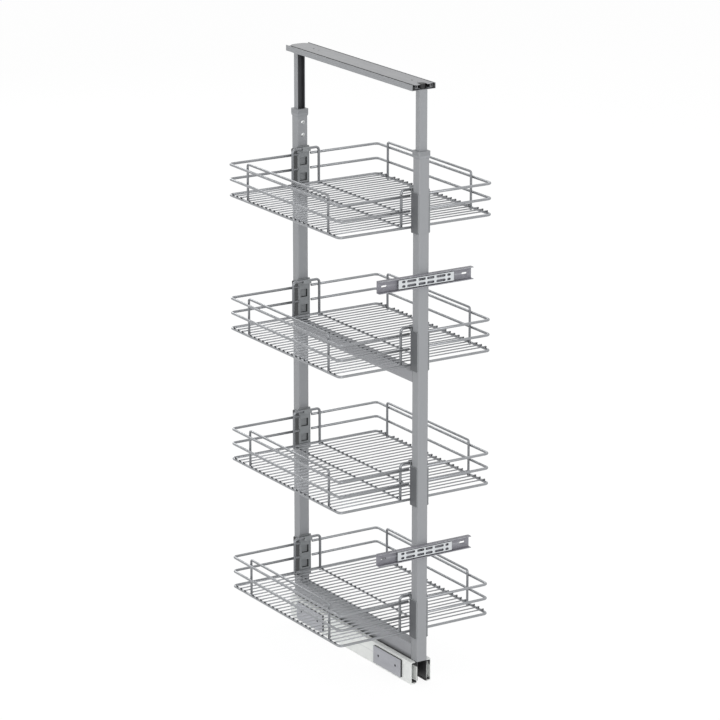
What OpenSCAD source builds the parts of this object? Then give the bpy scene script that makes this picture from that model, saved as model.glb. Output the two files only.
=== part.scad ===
// Pull-out pantry frame: a tall frame on a full-extension floor runner, guided at the cabinet's top,
// with four lift-off wire baskets and two slotted front brackets for the door.
// X is the width, -Y is the front (the way it pulls out) and Z is up from the cabinet floor.

/* [Overall] */
// Clear distance between the inner faces of the two uprights
frame_span = 474; // [440:1:540]
// Height of the lowest basket ring above the cabinet floor
ring_first_z = 116; // [112:1:150]
// Height from one basket ring to the next
basket_pitch = 308; // [300:1:340]
// Height of the uprights' tops above the highest basket ring
upright_rise = 167; // [160:1:220]
// How far the frame pulls out
travel = 450; // [350:5:480]

/* [Tubes] */
// Width of the upright tube
tube_w = 26; // [24:0.5:30]
// Depth of the upright tube
tube_d = 25; // [24:0.5:30]
// Wall of the upright tube
tube_wall = 2; // [1.5:0.1:2.5]
// Outer corner radius of the tube
tube_corner = 2; // [1:0.1:3]
// Height of the mid beam's tube
mid_beam_h = 25; // [20:1:40]
// Drop from a basket ring to the top of the mid beam
mid_beam_drop = 13.5; // [13:0.5:30]

/* [Floor runner] */
// Width of the floor channel
channel_w = 53; // [52.5:0.1:56]
// Height of the floor channel
channel_h = 52; // [48:0.5:60]
// Wall of the floor channel
channel_wall = 1.2; // [0.8:0.1:1.5]
// Thickness of the floor channel's base
channel_base = 2; // [1.5:0.1:3]
// Width of the floor channel's top flanges
channel_flange = 12; // [8:0.5:12.5]
// Distance of the runner's ends behind the uprights' outer faces
runner_setback = 4; // [0:0.5:10]
// Sheet thickness of the ball rails
rail_sheet = 1.2; // [1:0.1:1.3]
// Setback of the middle and inner rails from the outer rails' ends
rail_setback = 14; // [8:0.5:16]
// Length of the outer rail's flanges
outer_flange = 10.3; // [9.5:0.1:11]
// Diameter of the balls between outer and middle rail
outer_ball_d = 4.2; // [3.8:0.1:4.6]
// Diameter of the balls between middle and inner rail
inner_ball_d = 3.5; // [3.2:0.1:3.8]
// Running play between a ball and its races
ball_play = 0.25; // [0.2:0.01:0.35]
// Depth of the race pressed into a flange
race_depth = 0.5; // [0.3:0.05:0.7]
// Distance from ball to ball along a cage
ball_pitch = 24; // [18:1:40]
// Sheet thickness of the ball cages
cage_sheet = 0.6; // [0.5:0.05:0.7]
// Side gap between a cage and the rails
cage_gap = 0.5; // [0.4:0.05:0.6]
// Length of the plastic bumpers in the rail ends
bumper_len = 4; // [3:0.5:6]
// Length of the plastic foot strip inside each rail end
foot_len = 45; // [20:1:60]
// Length of the notch in each end of the floor channel's base
base_notch = 48; // [20:1:60]
// Radius of the floor screw holes
floor_hole_r = 2.6; // [2:0.1:3.5]
// Distance between the floor screw holes along the runner
floor_hole_y = 360; // [300:5:400]

/* [Side plates] */
// Length of a side plate
plate_len = 112; // [100:1:130]
// Height of a side plate
plate_h = 41; // [34:1:44]
// Height of the side plates above the cabinet floor
plate_z = 6; // [2:0.5:8]
// Sheet thickness of a side plate
plate_sheet = 1.5; // [1:0.1:2.5]
// Thickness of the pad behind a side plate
pad_t = 3.5; // [2:0.1:5]
// Distance of a side plate from the runner's end
plate_setback = 36; // [20:1:50]
// Distance between the two holes of a side plate
plate_hole_y = 70; // [50:1:80]
// Height of a side plate's holes above its lower edge
plate_hole_z = 22; // [15:0.5:28]
// Diameter of the side plates' screws
plate_screw_d = 3.5; // [3:0.1:4]
// Diameter of the side plates' screw heads
plate_head_d = 6; // [5:0.1:7]

/* [Bottom beam] */
// Height of the beam above the foot of the uprights
beam_rise = 36; // [25:1:38]
// Gap between the beam's skirt and the base of the floor channel
beam_clear = 6; // [3:0.5:10]
// Sheet thickness of the beam
beam_sheet = 2; // [1.5:0.1:2.5]

/* [Head and top guide] */
// Width of the extension channel
ext_w = 20; // [18:0.5:21]
// Depth of the extension channel
ext_d = 15; // [13:0.5:16]
// Sheet thickness of the extension channel
ext_sheet = 1.5; // [1.2:0.1:2]
// Length of the extension inside the upright
ext_inside = 128; // [110:1:132]
// Length of the extension above the upright
ext_above = 137; // [120:1:180]
// Width of the top guide's lower rail
top_w = 60; // [56:0.5:70]
// Height of the top guide's lower rail
top_h = 12.5; // [12:0.1:16]
// Sheet thickness of the top guide's rails
top_sheet = 1.5; // [1.2:0.1:1.8]
// Width of the lower rail's lips
top_lip = 2.5; // [2:0.1:4]
// Gap between the lower rail's lips and the ceiling rail
top_groove = 2; // [1:0.1:3]
// Width of the top guide's middle rail
top_mid_w = 44; // [42:0.5:46]
// Radius of the round front stop in the lower rail
stop_r = 8.5; // [6:0.5:9]
// Radius of the ceiling screw holes
ceiling_hole_r = 2.5; // [2:0.1:3.5]
// Distance of the ceiling screw holes from the rails' ends, before their shift to the front
ceiling_inset = 58; // [52:1:100]
// Distance of the ceiling screw holes' middle in front of the centre plane
ceiling_shift = 12; // [0:1:20]
// Radius of the pilot hole in front of each ceiling screw hole
ceiling_pilot_r = 1.6; // [1:0.1:2]
// Distance from a ceiling screw hole to its pilot hole
ceiling_pilot_y = 21; // [15:1:22]

/* [Collars and clamps] */
// Height of the plastic collar on an upright
collar_h = 16; // [12:0.5:24]
// Wall of the collar at its flared top
collar_wall = 2.2; // [1.5:0.1:3]
// Wall of the collar at its lower edge
collar_edge = 0.6; // [0.5:0.1:1.2]
// Thickness of the collar's top
collar_top = 4; // [3:0.5:6]
// Depth of the lower clamp screw below the upright's top
clamp_low = 55; // [50:1:60]
// Depth of the upper clamp screw below the upright's top
clamp_high = 26; // [24:1:30]
// Diameter of the clamp screws
clamp_d = 5; // [4:0.5:6]
// Diameter of the clamp screws' heads
clamp_head_d = 9.5; // [8:0.5:12]
// Height of the clamp screws' heads
clamp_head_h = 3; // [2:0.5:4]
// Thickness of the clamp nuts
clamp_nut_t = 5; // [4:0.5:6]

/* [Front brackets] */
// Height of a bracket's centre above the basket ring below it
bracket_rise = 197; // [150:1:215]
// Width of a bracket
bracket_w = 242; // [236:1:300]
// Height of a bracket
bracket_h = 28; // [26:0.5:34]
// Depth of a bracket
bracket_d = 12; // [11:0.5:20]
// Sheet thickness of a bracket
bracket_sheet = 2; // [1.5:0.1:2.5]
// Distance of the bracket's end slots from its ends, at their centres
bracket_slot_inset = 18; // [16:1:26]
// Length of the bracket's end slots
bracket_slot_len = 14; // [12:0.5:24]
// Width of the bracket's end slots
bracket_slot_w = 4; // [3.5:0.5:8]
// Width of the adjuster plate
adjuster_w = 142; // [136:1:160]
// Height of the adjuster plate
adjuster_h = 20; // [19:0.5:21]
// Depth of the adjuster plate's flanges
adjuster_d = 8; // [6:0.5:8.5]
// Sheet thickness of the adjuster plate
adjuster_sheet = 1.5; // [1:0.1:2]
// Sliding gap between the adjuster plate and the bracket
adjuster_play = 0.2; // [0.1:0.05:0.4]
// Width of the adjuster's slots
slot_w = 5.4; // [3.5:0.1:6]
// Distance between the adjuster's two rows of slots
slot_row_z = 10; // [8.5:0.1:10.5]
// Length of the adjuster's long slots
slot_long = 24; // [20:0.5:26]
// Distance between the centres of the long slots
slot_long_x = 75; // [74:0.5:78]
// Diameter of the bracket screws
bracket_screw_d = 5; // [4:0.5:5]
// Distance between the bracket screws
bracket_screw_x = 13; // [12:0.5:14]

/* [Baskets] */
// Width of a basket between the centres of its long ring wires
basket_w = 390; // [340:1:440]
// Gap between the ring's wire and the clips' faces
ring_clear = 0.3; // [0.25:0.05:1]
// Diameter of the ring's wire
ring_d = 6; // [4:0.1:7]
// Diameter of the side rails' wire
rail_d = 6; // [4:0.1:7]
// Diameter of the floor wires
floor_d = 3; // [2.5:0.1:4]
// Diameter of the guards' wire
guard_d = 5.5; // [4:0.1:7]
// Diameter of the hangers' wire
hanger_d = 6; // [4:0.1:7]
// Number of spaces between the floor wires
floor_spaces = 26; // [24:2:30]
// Corner radius of ring and rails, at the wire's centre
corner_r = 9; // [7:1:30]
// Height of the lower side rail above the ring
low_rail_z = 36; // [30:1:40]
// Height of the upper side rail above the ring
high_rail_z = 70; // [62:1:72]
// Height of the guards above the ring
guard_z = 83; // [80:1:95]
// Height of the hangers above the ring
hanger_z = 83; // [79:0.5:84]
// Distance of a hanger's legs from the centre plane
hanger_x = 34.5; // [30:0.5:45]
// Distance of the rail ends from the centre plane
rail_end_x = 16.5; // [16:0.5:26]
// Gap left at a weld between two wires
weld_gap = 0.1; // [0.05:0.01:0.2]

/* [Clips] */
// Thickness of a clip's face plate
clip_face = 3; // [2.5:0.1:5]
// Wall of a clip's cheeks
clip_wall = 2.5; // [2:0.1:3.5]
// Height of a clip's foot below the ring
clip_low = 11; // [9:0.5:13]
// Height of a clip's top above the ring
clip_high = 87; // [84:0.5:92]
// Side of the square pockets in a clip's face
clip_window = 18; // [14:0.5:18.5]
// Depth of the square pockets in a clip's face
clip_pocket = 6.5; // [5:0.1:6.5]
// Drop from a clip's top to the top of its cheeks
cheek_drop = 8; // [4:0.5:12]
// Width of the hook and of the lower lip
hook_w = 20; // [16:0.5:24]
// Thickness of the hook and of the lower lip
hook_t = 3; // [2:0.1:4]
// Gap between a wire and the hook that holds it
hook_gap = 0.3; // [0.25:0.05:0.5]

/* [Hidden] */
$fn = 48;

// Finish colours
tube_grey = [0.64, 0.65, 0.67];
beam_grey = [0.58, 0.58, 0.61];
white_paint = [0.90, 0.91, 0.89];
zinc = [0.80, 0.82, 0.83];
steel = [0.70, 0.71, 0.73];
black_plastic = [0.11, 0.11, 0.12];
clip_grey = [0.35, 0.36, 0.37];
collar_grey = [0.50, 0.51, 0.53];
wire_chrome = [0.72, 0.73, 0.75];

// Small gap for parts that sit on each other without play
seat_gap = 0.1;
// Gap between moving parts that face each other
run_gap = 0.3;
// Margin that makes a cut run past both faces
cut = 1;

// Frame
BASKETS = 4;
inner_y = frame_span / 2;
outer_y = inner_y + tube_d;
tube_mid_y = inner_y + tube_d / 2;
foot_z = channel_h;
function ring_z(basket) = ring_first_z + (BASKETS - basket) * basket_pitch;
upright_top = ring_z(1) + upright_rise;
upper_bracket_z = ring_z(2) + bracket_rise;
lower_bracket_z = ring_z(4) + bracket_rise;

// Runner section, to the right of the centre plane
runner_end = outer_y - runner_setback;
rail_end = runner_end - rail_setback;
runner_mid_z = (channel_base + channel_h - channel_wall) / 2;
runner_half_h = (channel_h - channel_wall - channel_base) / 2;
outer_web_x = channel_w / 2 - channel_wall;
outer_cage_x = outer_web_x - rail_sheet - cage_gap;
middle_web_x = outer_cage_x - cage_sheet - cage_gap;
inner_cage_x = middle_web_x - rail_sheet - cage_gap;
inner_tip_x = inner_cage_x - cage_sheet - cage_gap;
inner_web_x = tube_w / 2;
outer_tip_x = outer_web_x - outer_flange;
middle_tip_x = inner_web_x + rail_sheet + run_gap * 4;
outer_ball_x = (outer_cage_x - cage_sheet + outer_tip_x) / 2;
inner_ball_x = (inner_tip_x + middle_tip_x) / 2;
// Heights are measured inwards from the channel, and mirrored about the middle
outer_face_h = runner_half_h - rail_sheet;
outer_ball_h = outer_face_h + race_depth - ball_play - outer_ball_d / 2;
middle_out_h = outer_ball_h - outer_ball_d / 2 - ball_play + race_depth;
middle_face_h = middle_out_h - rail_sheet;
inner_ball_h = middle_face_h + race_depth - ball_play - inner_ball_d / 2;
inner_out_h = inner_ball_h - inner_ball_d / 2 - ball_play + race_depth;
// A cage stays inside both of its rails over the whole travel
cage_margin = 3 * bumper_len;
cage_len = 2 * rail_end - travel / 2 - cage_margin;
ball_hole_gap = 0.2;
cage_past_ball = 1.6;
ball_count = floor((cage_len - ball_pitch) / ball_pitch) + 1;
ball_first_y = -(ball_count - 1) * ball_pitch / 2;

// Side plates
plate_x = channel_w / 2 + pad_t;
plate_corner = 2;
plate_y = runner_end - plate_setback - plate_len / 2;

// Basket
ring_r = ring_d / 2;
clip_face_y = inner_y - clip_face;
half_l = clip_face_y - ring_clear - ring_r;
half_w = basket_w / 2;
floor_pitch = 2 * half_l / floor_spaces;
floor_z = ring_r + weld_gap + floor_d / 2;
wire_over = 1.5;
guard_x = half_w - rail_d / 2 - weld_gap - guard_d / 2;
guard_face = guard_x - guard_d / 2 - weld_gap;
guard_bend = 5;
guard_near = 9;
guard_far = 10;
hanger_y = half_l - max(ring_d, rail_d) / 2 - weld_gap - hanger_d / 2;
hanger_bend = 8;
support_d = 4;

// Clip pockets: their heights above the ring, and half the width of the lug round each
WINDOW_Z = [16, 52];
lug_wall = 1;
lug_half = clip_window / 2 + lug_wall;

// Head
ext_back_gap = (tube_d - 2 * tube_wall - ext_d) / 2;
ext_y = inner_y + tube_wall + ext_back_gap;
ext_bottom = upright_top - ext_inside;
top_z = upright_top + ext_above;
top_end = runner_end;
stop_y = stop_r + 1 - top_end;

// Height of the middle rail's base, its walls and the glides above the lower rail's base
top_lift = 1.6;
top_mid_wall = 7;
glide_h = 5.2;
ceiling_half_w = top_w / 2 - top_lip - top_groove;
ceiling_wall_x = 17;
ceiling_foot = 2.6;
ceiling_proud = 0.2;
ceiling_end_r = 18;

// Extrude a profile drawn in X and Z along Y
module along_y(y0, y1) {
    translate([0, y1, 0])
        rotate([90, 0, 0])
            linear_extrude(y1 - y0)
                children();
}

// Extrude a profile drawn in Y and Z along X
module along_x(x0, x1) {
    translate([x0, 0, 0])
        rotate([90, 0, 90])
            linear_extrude(x1 - x0)
                children();
}

// Rectangle between two corners
module rect(x0, y0, x1, y1) {
    translate([x0, y0])
        square([x1 - x0, y1 - y0]);
}

// Box between two corners
module box(low, high) {
    translate(low)
        cube(high - low);
}

// Centred rectangle with round corners
module rounded_rect(w, d, r) {
    square([w - 2 * r, d], center = true);
    square([w, d - 2 * r], center = true);
    for (x = [-1, 1], y = [-1, 1])
        translate([x * (w / 2 - r), y * (d / 2 - r)])
            circle(r);
}

// Centred slot with round ends, long in X
module slot(len, w) {
    square([len - w, w], center = true);
    for (x = [-1, 1])
        translate([x * (len - w) / 2, 0])
            circle(d = w);
}

// The same shape on both sides of the centre plane
module both_sides() {
    children();
    mirror([1, 0, 0])
        children();
}

// The same shape at the rear, and mirrored to the front
module front_of_rear() {
    mirror([0, 1, 0])
        children();
}

module wire_x(x0, x1, y, z, d) {
    translate([x0, y, z])
        rotate([0, 90, 0])
            cylinder(h = x1 - x0, d = d);
}

module wire_y(y0, y1, x, z, d) {
    translate([x, y1, z])
        rotate([90, 0, 0])
            cylinder(h = y1 - y0, d = d);
}

module wire_z(z0, z1, x, y, d) {
    translate([x, y, z0])
        cylinder(h = z1 - z0, d = d);
}

// Quarter bend of a wire, from +X to +Y
module bend(r, d) {
    rotate_extrude(angle = 90)
        translate([r, 0])
            circle(d = d);
}

// Floor channel: a U profile with inward top flanges and the floor screw holes
module floor_channel() {
    half = channel_w / 2;
    color(white_paint)
        difference() {
            along_y(-runner_end, runner_end)
                union() {
                    rect(-half, 0, half, channel_base);
                    both_sides()
                        union() {
                            rect(half - channel_wall, 0, half, channel_h);
                            rect(half - channel_flange, channel_h - channel_wall, half, channel_h);
                        }
                }
            for (y = [-1, 1])
                translate([0, y * floor_hole_y / 2, -cut])
                    cylinder(h = channel_base + 2 * cut, r = floor_hole_r);
            for (end = [0, 1])
                mirror([0, end, 0]) {
                    both_sides()
                        at_plate_screws(half - channel_wall - cut)
                            cylinder(h = channel_wall + 2 * cut, d = plate_screw_d + 2 * seat_gap);
                    box(
                        [channel_flange - half, runner_end - base_notch, -cut],
                        [half - channel_flange, runner_end + cut, channel_base + cut]
                    );
                }
        }
}

// Shape of a side plate and of its pad, seen from the side
module plate_outline() {
    translate([plate_y, plate_z + plate_h / 2])
        rounded_rect(plate_len, plate_h, plate_corner);
}

// Something along X at each of a side plate's two screws, on the right at the rear
module at_plate_screws(x) {
    for (y = [-1, 1])
        translate([x, plate_y + y * plate_hole_y / 2, plate_z + plate_hole_z])
            rotate([0, 90, 0])
                children();
}

// One side plate with its two screw holes, on the right at the rear
module side_plate() {
    difference() {
        along_x(plate_x, plate_x + plate_sheet)
            plate_outline();
        at_plate_screws(plate_x - cut)
            cylinder(h = plate_sheet + 2 * cut, d = plate_head_d + 2 * seat_gap);
    }
}

module rear_plates() {
    color(steel)
        both_sides()
            side_plate();
}

module front_plates() {
    color(steel)
        front_of_rear()
            both_sides()
                side_plate();
}

// Pads between the side plates and the floor channel
module plate_pads() {
    color(black_plastic)
        for (end = [0, 1])
            mirror([0, end, 0])
                both_sides()
                    difference() {
                        along_x(channel_w / 2, plate_x)
                            plate_outline();
                        at_plate_screws(channel_w / 2 - cut)
                            cylinder(h = pad_t + 2 * cut, d = plate_screw_d + 2 * seat_gap);
                    }
}

// Dark screws with flush heads that hold the side plates and pads to the floor channel
module plate_screws() {
    color(black_plastic)
        for (end = [0, 1])
            mirror([0, end, 0])
                both_sides() {
                    at_plate_screws(channel_w / 2 - channel_wall)
                        cylinder(h = channel_wall + pad_t, d = plate_screw_d);
                    at_plate_screws(plate_x)
                        cylinder(h = plate_sheet, d = plate_head_d);
                }
}

// Upper and lower flange of a rail, with the races of its balls cut in
module flange_pair(x0, x1, h0, h1, ball_x, ball_h, ball_d) {
    for (side = [-1, 1])
        difference() {
            translate([0, runner_mid_z + side * (h0 + h1) / 2])
                rect(x0, (h0 - h1) / 2, x1, (h1 - h0) / 2);
            translate([ball_x, runner_mid_z + side * ball_h])
                circle(ball_d / 2 + ball_play);
        }
}

// Web of a rail, from its side that faces the centre plane
module rail_web(x, half_h) {
    rect(x, runner_mid_z - half_h, x + rail_sheet, runner_mid_z + half_h);
}

module outer_rail_profile() {
    rail_web(outer_web_x - rail_sheet, runner_half_h);
    flange_pair(
        outer_tip_x, outer_web_x, outer_face_h, runner_half_h,
        outer_ball_x, outer_ball_h, outer_ball_d
    );
}

module middle_rail_profile() {
    difference() {
        union() {
            rail_web(middle_web_x - rail_sheet, middle_out_h);
            flange_pair(
                middle_tip_x, middle_web_x, middle_face_h, middle_out_h,
                inner_ball_x, inner_ball_h, inner_ball_d
            );
        }
        for (side = [-1, 1])
            translate([outer_ball_x, runner_mid_z + side * outer_ball_h])
                circle(outer_ball_d / 2 + ball_play);
    }
}

module inner_rail_profile() {
    rail_web(inner_web_x, inner_out_h);
    flange_pair(
        inner_web_x, inner_tip_x, inner_out_h - rail_sheet, inner_out_h,
        inner_ball_x, inner_ball_h, inner_ball_d
    );
}

module right_outer_rail() {
    color(zinc)
        along_y(-runner_end, runner_end)
            outer_rail_profile();
}

module left_outer_rail() {
    mirror([1, 0, 0])
        right_outer_rail();
}

module right_middle_rail() {
    color(zinc)
        along_y(-rail_end, rail_end)
            middle_rail_profile();
}

module left_middle_rail() {
    mirror([1, 0, 0])
        right_middle_rail();
}

module right_inner_rail() {
    color(zinc)
        along_y(-rail_end, rail_end)
            inner_rail_profile();
}

module left_inner_rail() {
    mirror([1, 0, 0])
        right_inner_rail();
}

// Plastic bumpers that close the ball spaces at the end of an outer rail, the upper one with a skirt
module bumper_profile() {
    low = middle_out_h + run_gap;
    half_h = (outer_face_h - low) / 2;
    back_x = outer_web_x - rail_sheet;
    skirt = 12;
    for (side = [-1, 1])
        translate([0, runner_mid_z + side * (low + half_h)])
            rect(outer_tip_x, -half_h, back_x, half_h);
    translate([0, runner_mid_z + outer_face_h])
        rect(middle_web_x + run_gap, -skirt, back_x, 0);
}

// Bumpers in the outer rails' ends, each with a foot strip along the lower flange's tip
module runner_bumpers() {
    foot_w = 3.5;
    foot_h = 4.5;
    color(black_plastic)
        for (end = [0, 1])
            mirror([0, end, 0])
                both_sides() {
                    along_y(runner_end - bumper_len, runner_end)
                        bumper_profile();
                    along_y(runner_end - foot_len, runner_end)
                        rect(outer_tip_x - foot_w, channel_base, outer_tip_x, channel_base + foot_h);
                }
}

// One C-shaped ball cage: a web along the rail and a holed strip for each row of balls
module ball_cage(web_x, ball_x, ball_h, ball_d) {
    tip_x = ball_x - ball_d / 2 - cage_past_ball;
    difference() {
        along_y(-cage_len / 2, cage_len / 2)
            union() {
                rect(
                    web_x - cage_sheet, runner_mid_z - ball_h - cage_sheet / 2,
                    web_x, runner_mid_z + ball_h + cage_sheet / 2
                );
                for (side = [-1, 1])
                    translate([0, runner_mid_z + side * ball_h])
                        rect(tip_x, -cage_sheet / 2, web_x, cage_sheet / 2);
            }
        for (side = [-1, 1], i = [0 : ball_count - 1])
            translate([ball_x, ball_first_y + i * ball_pitch, runner_mid_z + side * ball_h - cage_sheet])
                cylinder(h = 2 * cage_sheet, r = ball_d / 2 + ball_hole_gap);
    }
}

module ball_rows(ball_x, ball_h, ball_d) {
    for (side = [-1, 1], i = [0 : ball_count - 1])
        translate([ball_x, ball_first_y + i * ball_pitch, runner_mid_z + side * ball_h])
            sphere(d = ball_d);
}

module outer_ball_cages() {
    color(zinc)
        both_sides()
            ball_cage(outer_cage_x, outer_ball_x, outer_ball_h, outer_ball_d);
}

module inner_ball_cages() {
    color(zinc)
        both_sides()
            ball_cage(inner_cage_x, inner_ball_x, inner_ball_h, inner_ball_d);
}

module outer_balls() {
    color(steel)
        both_sides()
            ball_rows(outer_ball_x, outer_ball_h, outer_ball_d);
}

module inner_balls() {
    color(steel)
        both_sides()
            ball_rows(inner_ball_x, inner_ball_h, inner_ball_d);
}

// Bottom beam: an inverted U between the inner rails, notched at both ends for the uprights
module bottom_beam() {
    half = tube_w / 2;
    low = channel_base + beam_clear;
    high = foot_z + beam_rise;
    color(beam_grey)
        difference() {
            along_y(-outer_y, outer_y)
                difference() {
                    rect(-half, low, half, high);
                    rect(beam_sheet - half, low - cut, half - beam_sheet, high - beam_sheet);
                }
            for (end = [0, 1])
                mirror([0, end, 0])
                    box([-half - cut, inner_y, foot_z], [half + cut, outer_y + cut, high + cut]);
        }
}

// Mid beam: a tube under the second basket that ties the uprights
module mid_beam() {
    high = ring_z(2) - mid_beam_drop;
    color(beam_grey)
        along_y(-inner_y, inner_y)
            translate([0, high - mid_beam_h / 2])
                difference() {
                    rounded_rect(tube_w, mid_beam_h, tube_corner);
                    square([tube_w - 2 * tube_wall, mid_beam_h - 2 * tube_wall], center = true);
                }
}

// Upright tube at the rear, with the holes of its clamp screws and of the clips' lugs
module upright_tube() {
    difference() {
        translate([0, tube_mid_y, foot_z])
            linear_extrude(upright_top - foot_z)
                difference() {
                    rounded_rect(tube_w, tube_d, tube_corner);
                    square([tube_w - 2 * tube_wall, tube_d - 2 * tube_wall], center = true);
                }
        for (drop = [clamp_low, clamp_high])
            translate([0, inner_y - cut, upright_top - drop])
                rotate([-90, 0, 0])
                    cylinder(h = tube_wall + 2 * cut, d = clamp_d + 2 * seat_gap);
        for (basket = [1 : BASKETS], z = WINDOW_Z)
            translate([0, 0, ring_z(basket) + z])
                lug(inner_y - cut, inner_y + tube_wall + cut, lug_half + seat_gap);
    }
}

module rear_upright() {
    color(tube_grey)
        upright_tube();
}

module front_upright() {
    color(tube_grey)
        difference() {
            front_of_rear()
                upright_tube();
            for (z = [upper_bracket_z, lower_bracket_z], x = [-1, 1])
                translate([x * bracket_screw_x / 2, -outer_y - cut, z])
                    rotate([-90, 0, 0])
                        cylinder(h = tube_wall + 2 * cut, d = bracket_screw_d + 2 * seat_gap);
        }
}

// Side view of a collar that flares from its lower edge to its top
module flare(half) {
    slim = half + seat_gap + collar_edge;
    wide = half + seat_gap + collar_wall;
    low = collar_top - collar_h;
    polygon([[-slim, low], [slim, low], [wide, 0], [wide, collar_top], [-wide, collar_top], [-wide, 0]]);
}

// Plastic collar on top of an upright, open for the extension
module collar() {
    wide_w = tube_w + 2 * (seat_gap + collar_wall);
    wide_d = tube_d + 2 * (seat_gap + collar_wall);
    translate([0, tube_mid_y, upright_top])
        difference() {
            intersection() {
                translate([0, 0, collar_top - collar_h])
                    linear_extrude(collar_h)
                        rounded_rect(wide_w, wide_d, tube_corner + collar_wall);
                along_x(-wide_w / 2, wide_w / 2)
                    flare(tube_d / 2);
                along_y(-wide_d / 2, wide_d / 2)
                    flare(tube_w / 2);
            }
            translate([0, 0, collar_top - collar_h - cut])
                linear_extrude(collar_h - collar_top + cut)
                    square([tube_w + 2 * seat_gap, tube_d + 2 * seat_gap], center = true);
            translate([0, 0, -cut])
                linear_extrude(collar_top + 2 * cut)
                    square([ext_w + 2 * run_gap, ext_d + 2 * run_gap], center = true);
        }
}

module rear_collar() {
    color(collar_grey)
        collar();
}

module front_collar() {
    color(collar_grey)
        front_of_rear()
            collar();
}

// Clamp screw through an upright's inner wall, its tip facing the extension's web
module clamp_screw() {
    shank = ext_y + ext_d - ext_sheet - run_gap - inner_y;
    translate([0, inner_y, 0])
        rotate([-90, 0, 0])
            cylinder(h = shank, d = clamp_d);
    translate([0, inner_y - clamp_head_h, 0])
        rotate([-90, 0, 0])
            cylinder(h = clamp_head_h, d = clamp_head_d);
}

module clamp_screws() {
    color(zinc)
        for (end = [0, 1], drop = [clamp_low, clamp_high])
            mirror([0, end, 0])
                translate([0, 0, upright_top - drop])
                    clamp_screw();
}

// Nut plates on the inside of the uprights' walls, between the extension's flanges
module clamp_nuts() {
    half_w = ext_w / 2 - ext_sheet - run_gap;
    y0 = inner_y + tube_wall;
    nut_margin = 8;
    color(steel)
        for (end = [0, 1])
            mirror([0, end, 0])
                difference() {
                    box(
                        [-half_w, y0, upright_top - clamp_low - nut_margin],
                        [half_w, y0 + clamp_nut_t, upright_top - clamp_high + nut_margin]
                    );
                    for (drop = [clamp_low, clamp_high])
                        translate([0, y0 - cut, upright_top - drop])
                            rotate([-90, 0, 0])
                                cylinder(h = clamp_nut_t + 2 * cut, d = clamp_d + 2 * seat_gap);
                }
}

// Extension: a U channel inside the upright, open towards the basket
module extension() {
    color(tube_grey)
        translate([0, 0, ext_bottom])
            linear_extrude(top_z - ext_bottom)
                translate([0, ext_y])
                    difference() {
                        rect(-ext_w / 2, 0, ext_w / 2, ext_d);
                        rect(ext_sheet - ext_w / 2, -cut, ext_w / 2 - ext_sheet, ext_d - ext_sheet);
                    }
}

module rear_extension() {
    extension();
}

module front_extension() {
    front_of_rear()
        extension();
}

// Top guide, lower rail: a lipped channel that the extensions carry
module top_lower_rail() {
    half = top_w / 2;
    color(tube_grey)
        along_y(-top_end, top_end)
            translate([0, top_z])
                union() {
                    rect(-half, 0, half, top_sheet);
                    both_sides()
                        union() {
                            rect(half - top_sheet, 0, half, top_h);
                            rect(half - top_lip, top_h - top_sheet, half, top_h);
                        }
                }
}

// Round front stop in the lower rail's open end
module top_stop() {
    color(black_plastic)
        translate([0, stop_y, top_z + top_sheet])
            cylinder(h = top_h + ceiling_proud - top_sheet, r = stop_r);
}

// Notch for the front stop in the rails that slide past it
module stop_notch() {
    notch_r = stop_r + run_gap;
    translate([0, 0, top_z])
        linear_extrude(top_h + ceiling_proud + cut)
            union() {
                translate([0, stop_y])
                    circle(notch_r);
                rect(-notch_r, -top_end - cut, notch_r, stop_y);
            }
}

// Top guide, middle rail
module top_middle_rail() {
    half = top_mid_w / 2;
    base = top_sheet + top_lift;
    color(zinc)
        difference() {
            along_y(-top_end, top_end)
                translate([0, top_z + base])
                    difference() {
                        rect(-half, 0, half, top_mid_wall);
                        rect(top_sheet - half, top_sheet, half - top_sheet, top_mid_wall + cut);
                    }
            stop_notch();
        }
}

// Glide strips on both faces of the middle rail's walls
module top_glides() {
    half = top_mid_w / 2;
    base = top_sheet + top_lift;
    foot = base + top_sheet + run_gap + ceiling_foot;
    color(black_plastic)
        along_y(-top_end, top_end)
            translate([0, top_z])
                both_sides()
                    union() {
                        rect(half, base, top_w / 2 - top_sheet - run_gap, base + glide_h);
                        rect(ceiling_wall_x + run_gap, foot, half - top_sheet, base + top_mid_wall);
                    }
}

// Ceiling rail: an inverted channel with footed walls, rounded at the rear, with the ceiling screw holes
module ceiling_rail() {
    base = top_sheet + top_lift + top_sheet + run_gap;
    high = top_h + ceiling_proud;
    foot_x = top_mid_w / 2 - top_sheet - run_gap;
    end_x = ceiling_half_w - ceiling_end_r;
    color(steel)
        difference() {
            translate([0, 0, top_z])
                union() {
                    translate([0, 0, high - top_sheet])
                        linear_extrude(top_sheet)
                            union() {
                                rect(-ceiling_half_w, -top_end, ceiling_half_w, top_end - ceiling_end_r);
                                rect(-end_x, -top_end, end_x, top_end);
                                for (x = [-end_x, end_x])
                                    translate([x, top_end - ceiling_end_r])
                                        circle(ceiling_end_r);
                            }
                    along_y(-top_end, top_end - ceiling_end_r)
                        both_sides()
                            union() {
                                rect(ceiling_wall_x - top_sheet, base, ceiling_wall_x, high - top_sheet);
                                rect(ceiling_wall_x - top_sheet, base, foot_x, base + top_sheet);
                            }
                }
            for (y = [-1, 1])
                translate([0, y * (top_end - ceiling_inset) - ceiling_shift, top_z + high - top_sheet - cut]) {
                    cylinder(h = top_sheet + 2 * cut, r = ceiling_hole_r);
                    translate([0, -ceiling_pilot_y, 0])
                        cylinder(h = top_sheet + 2 * cut, r = ceiling_pilot_r);
                }
            stop_notch();
        }
}

// Square block of a clip's lug, centred on the upright, between two depths
module lug(y0, y1, half) {
    box([-half, y0, -half], [half, y1, half]);
}

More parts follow.
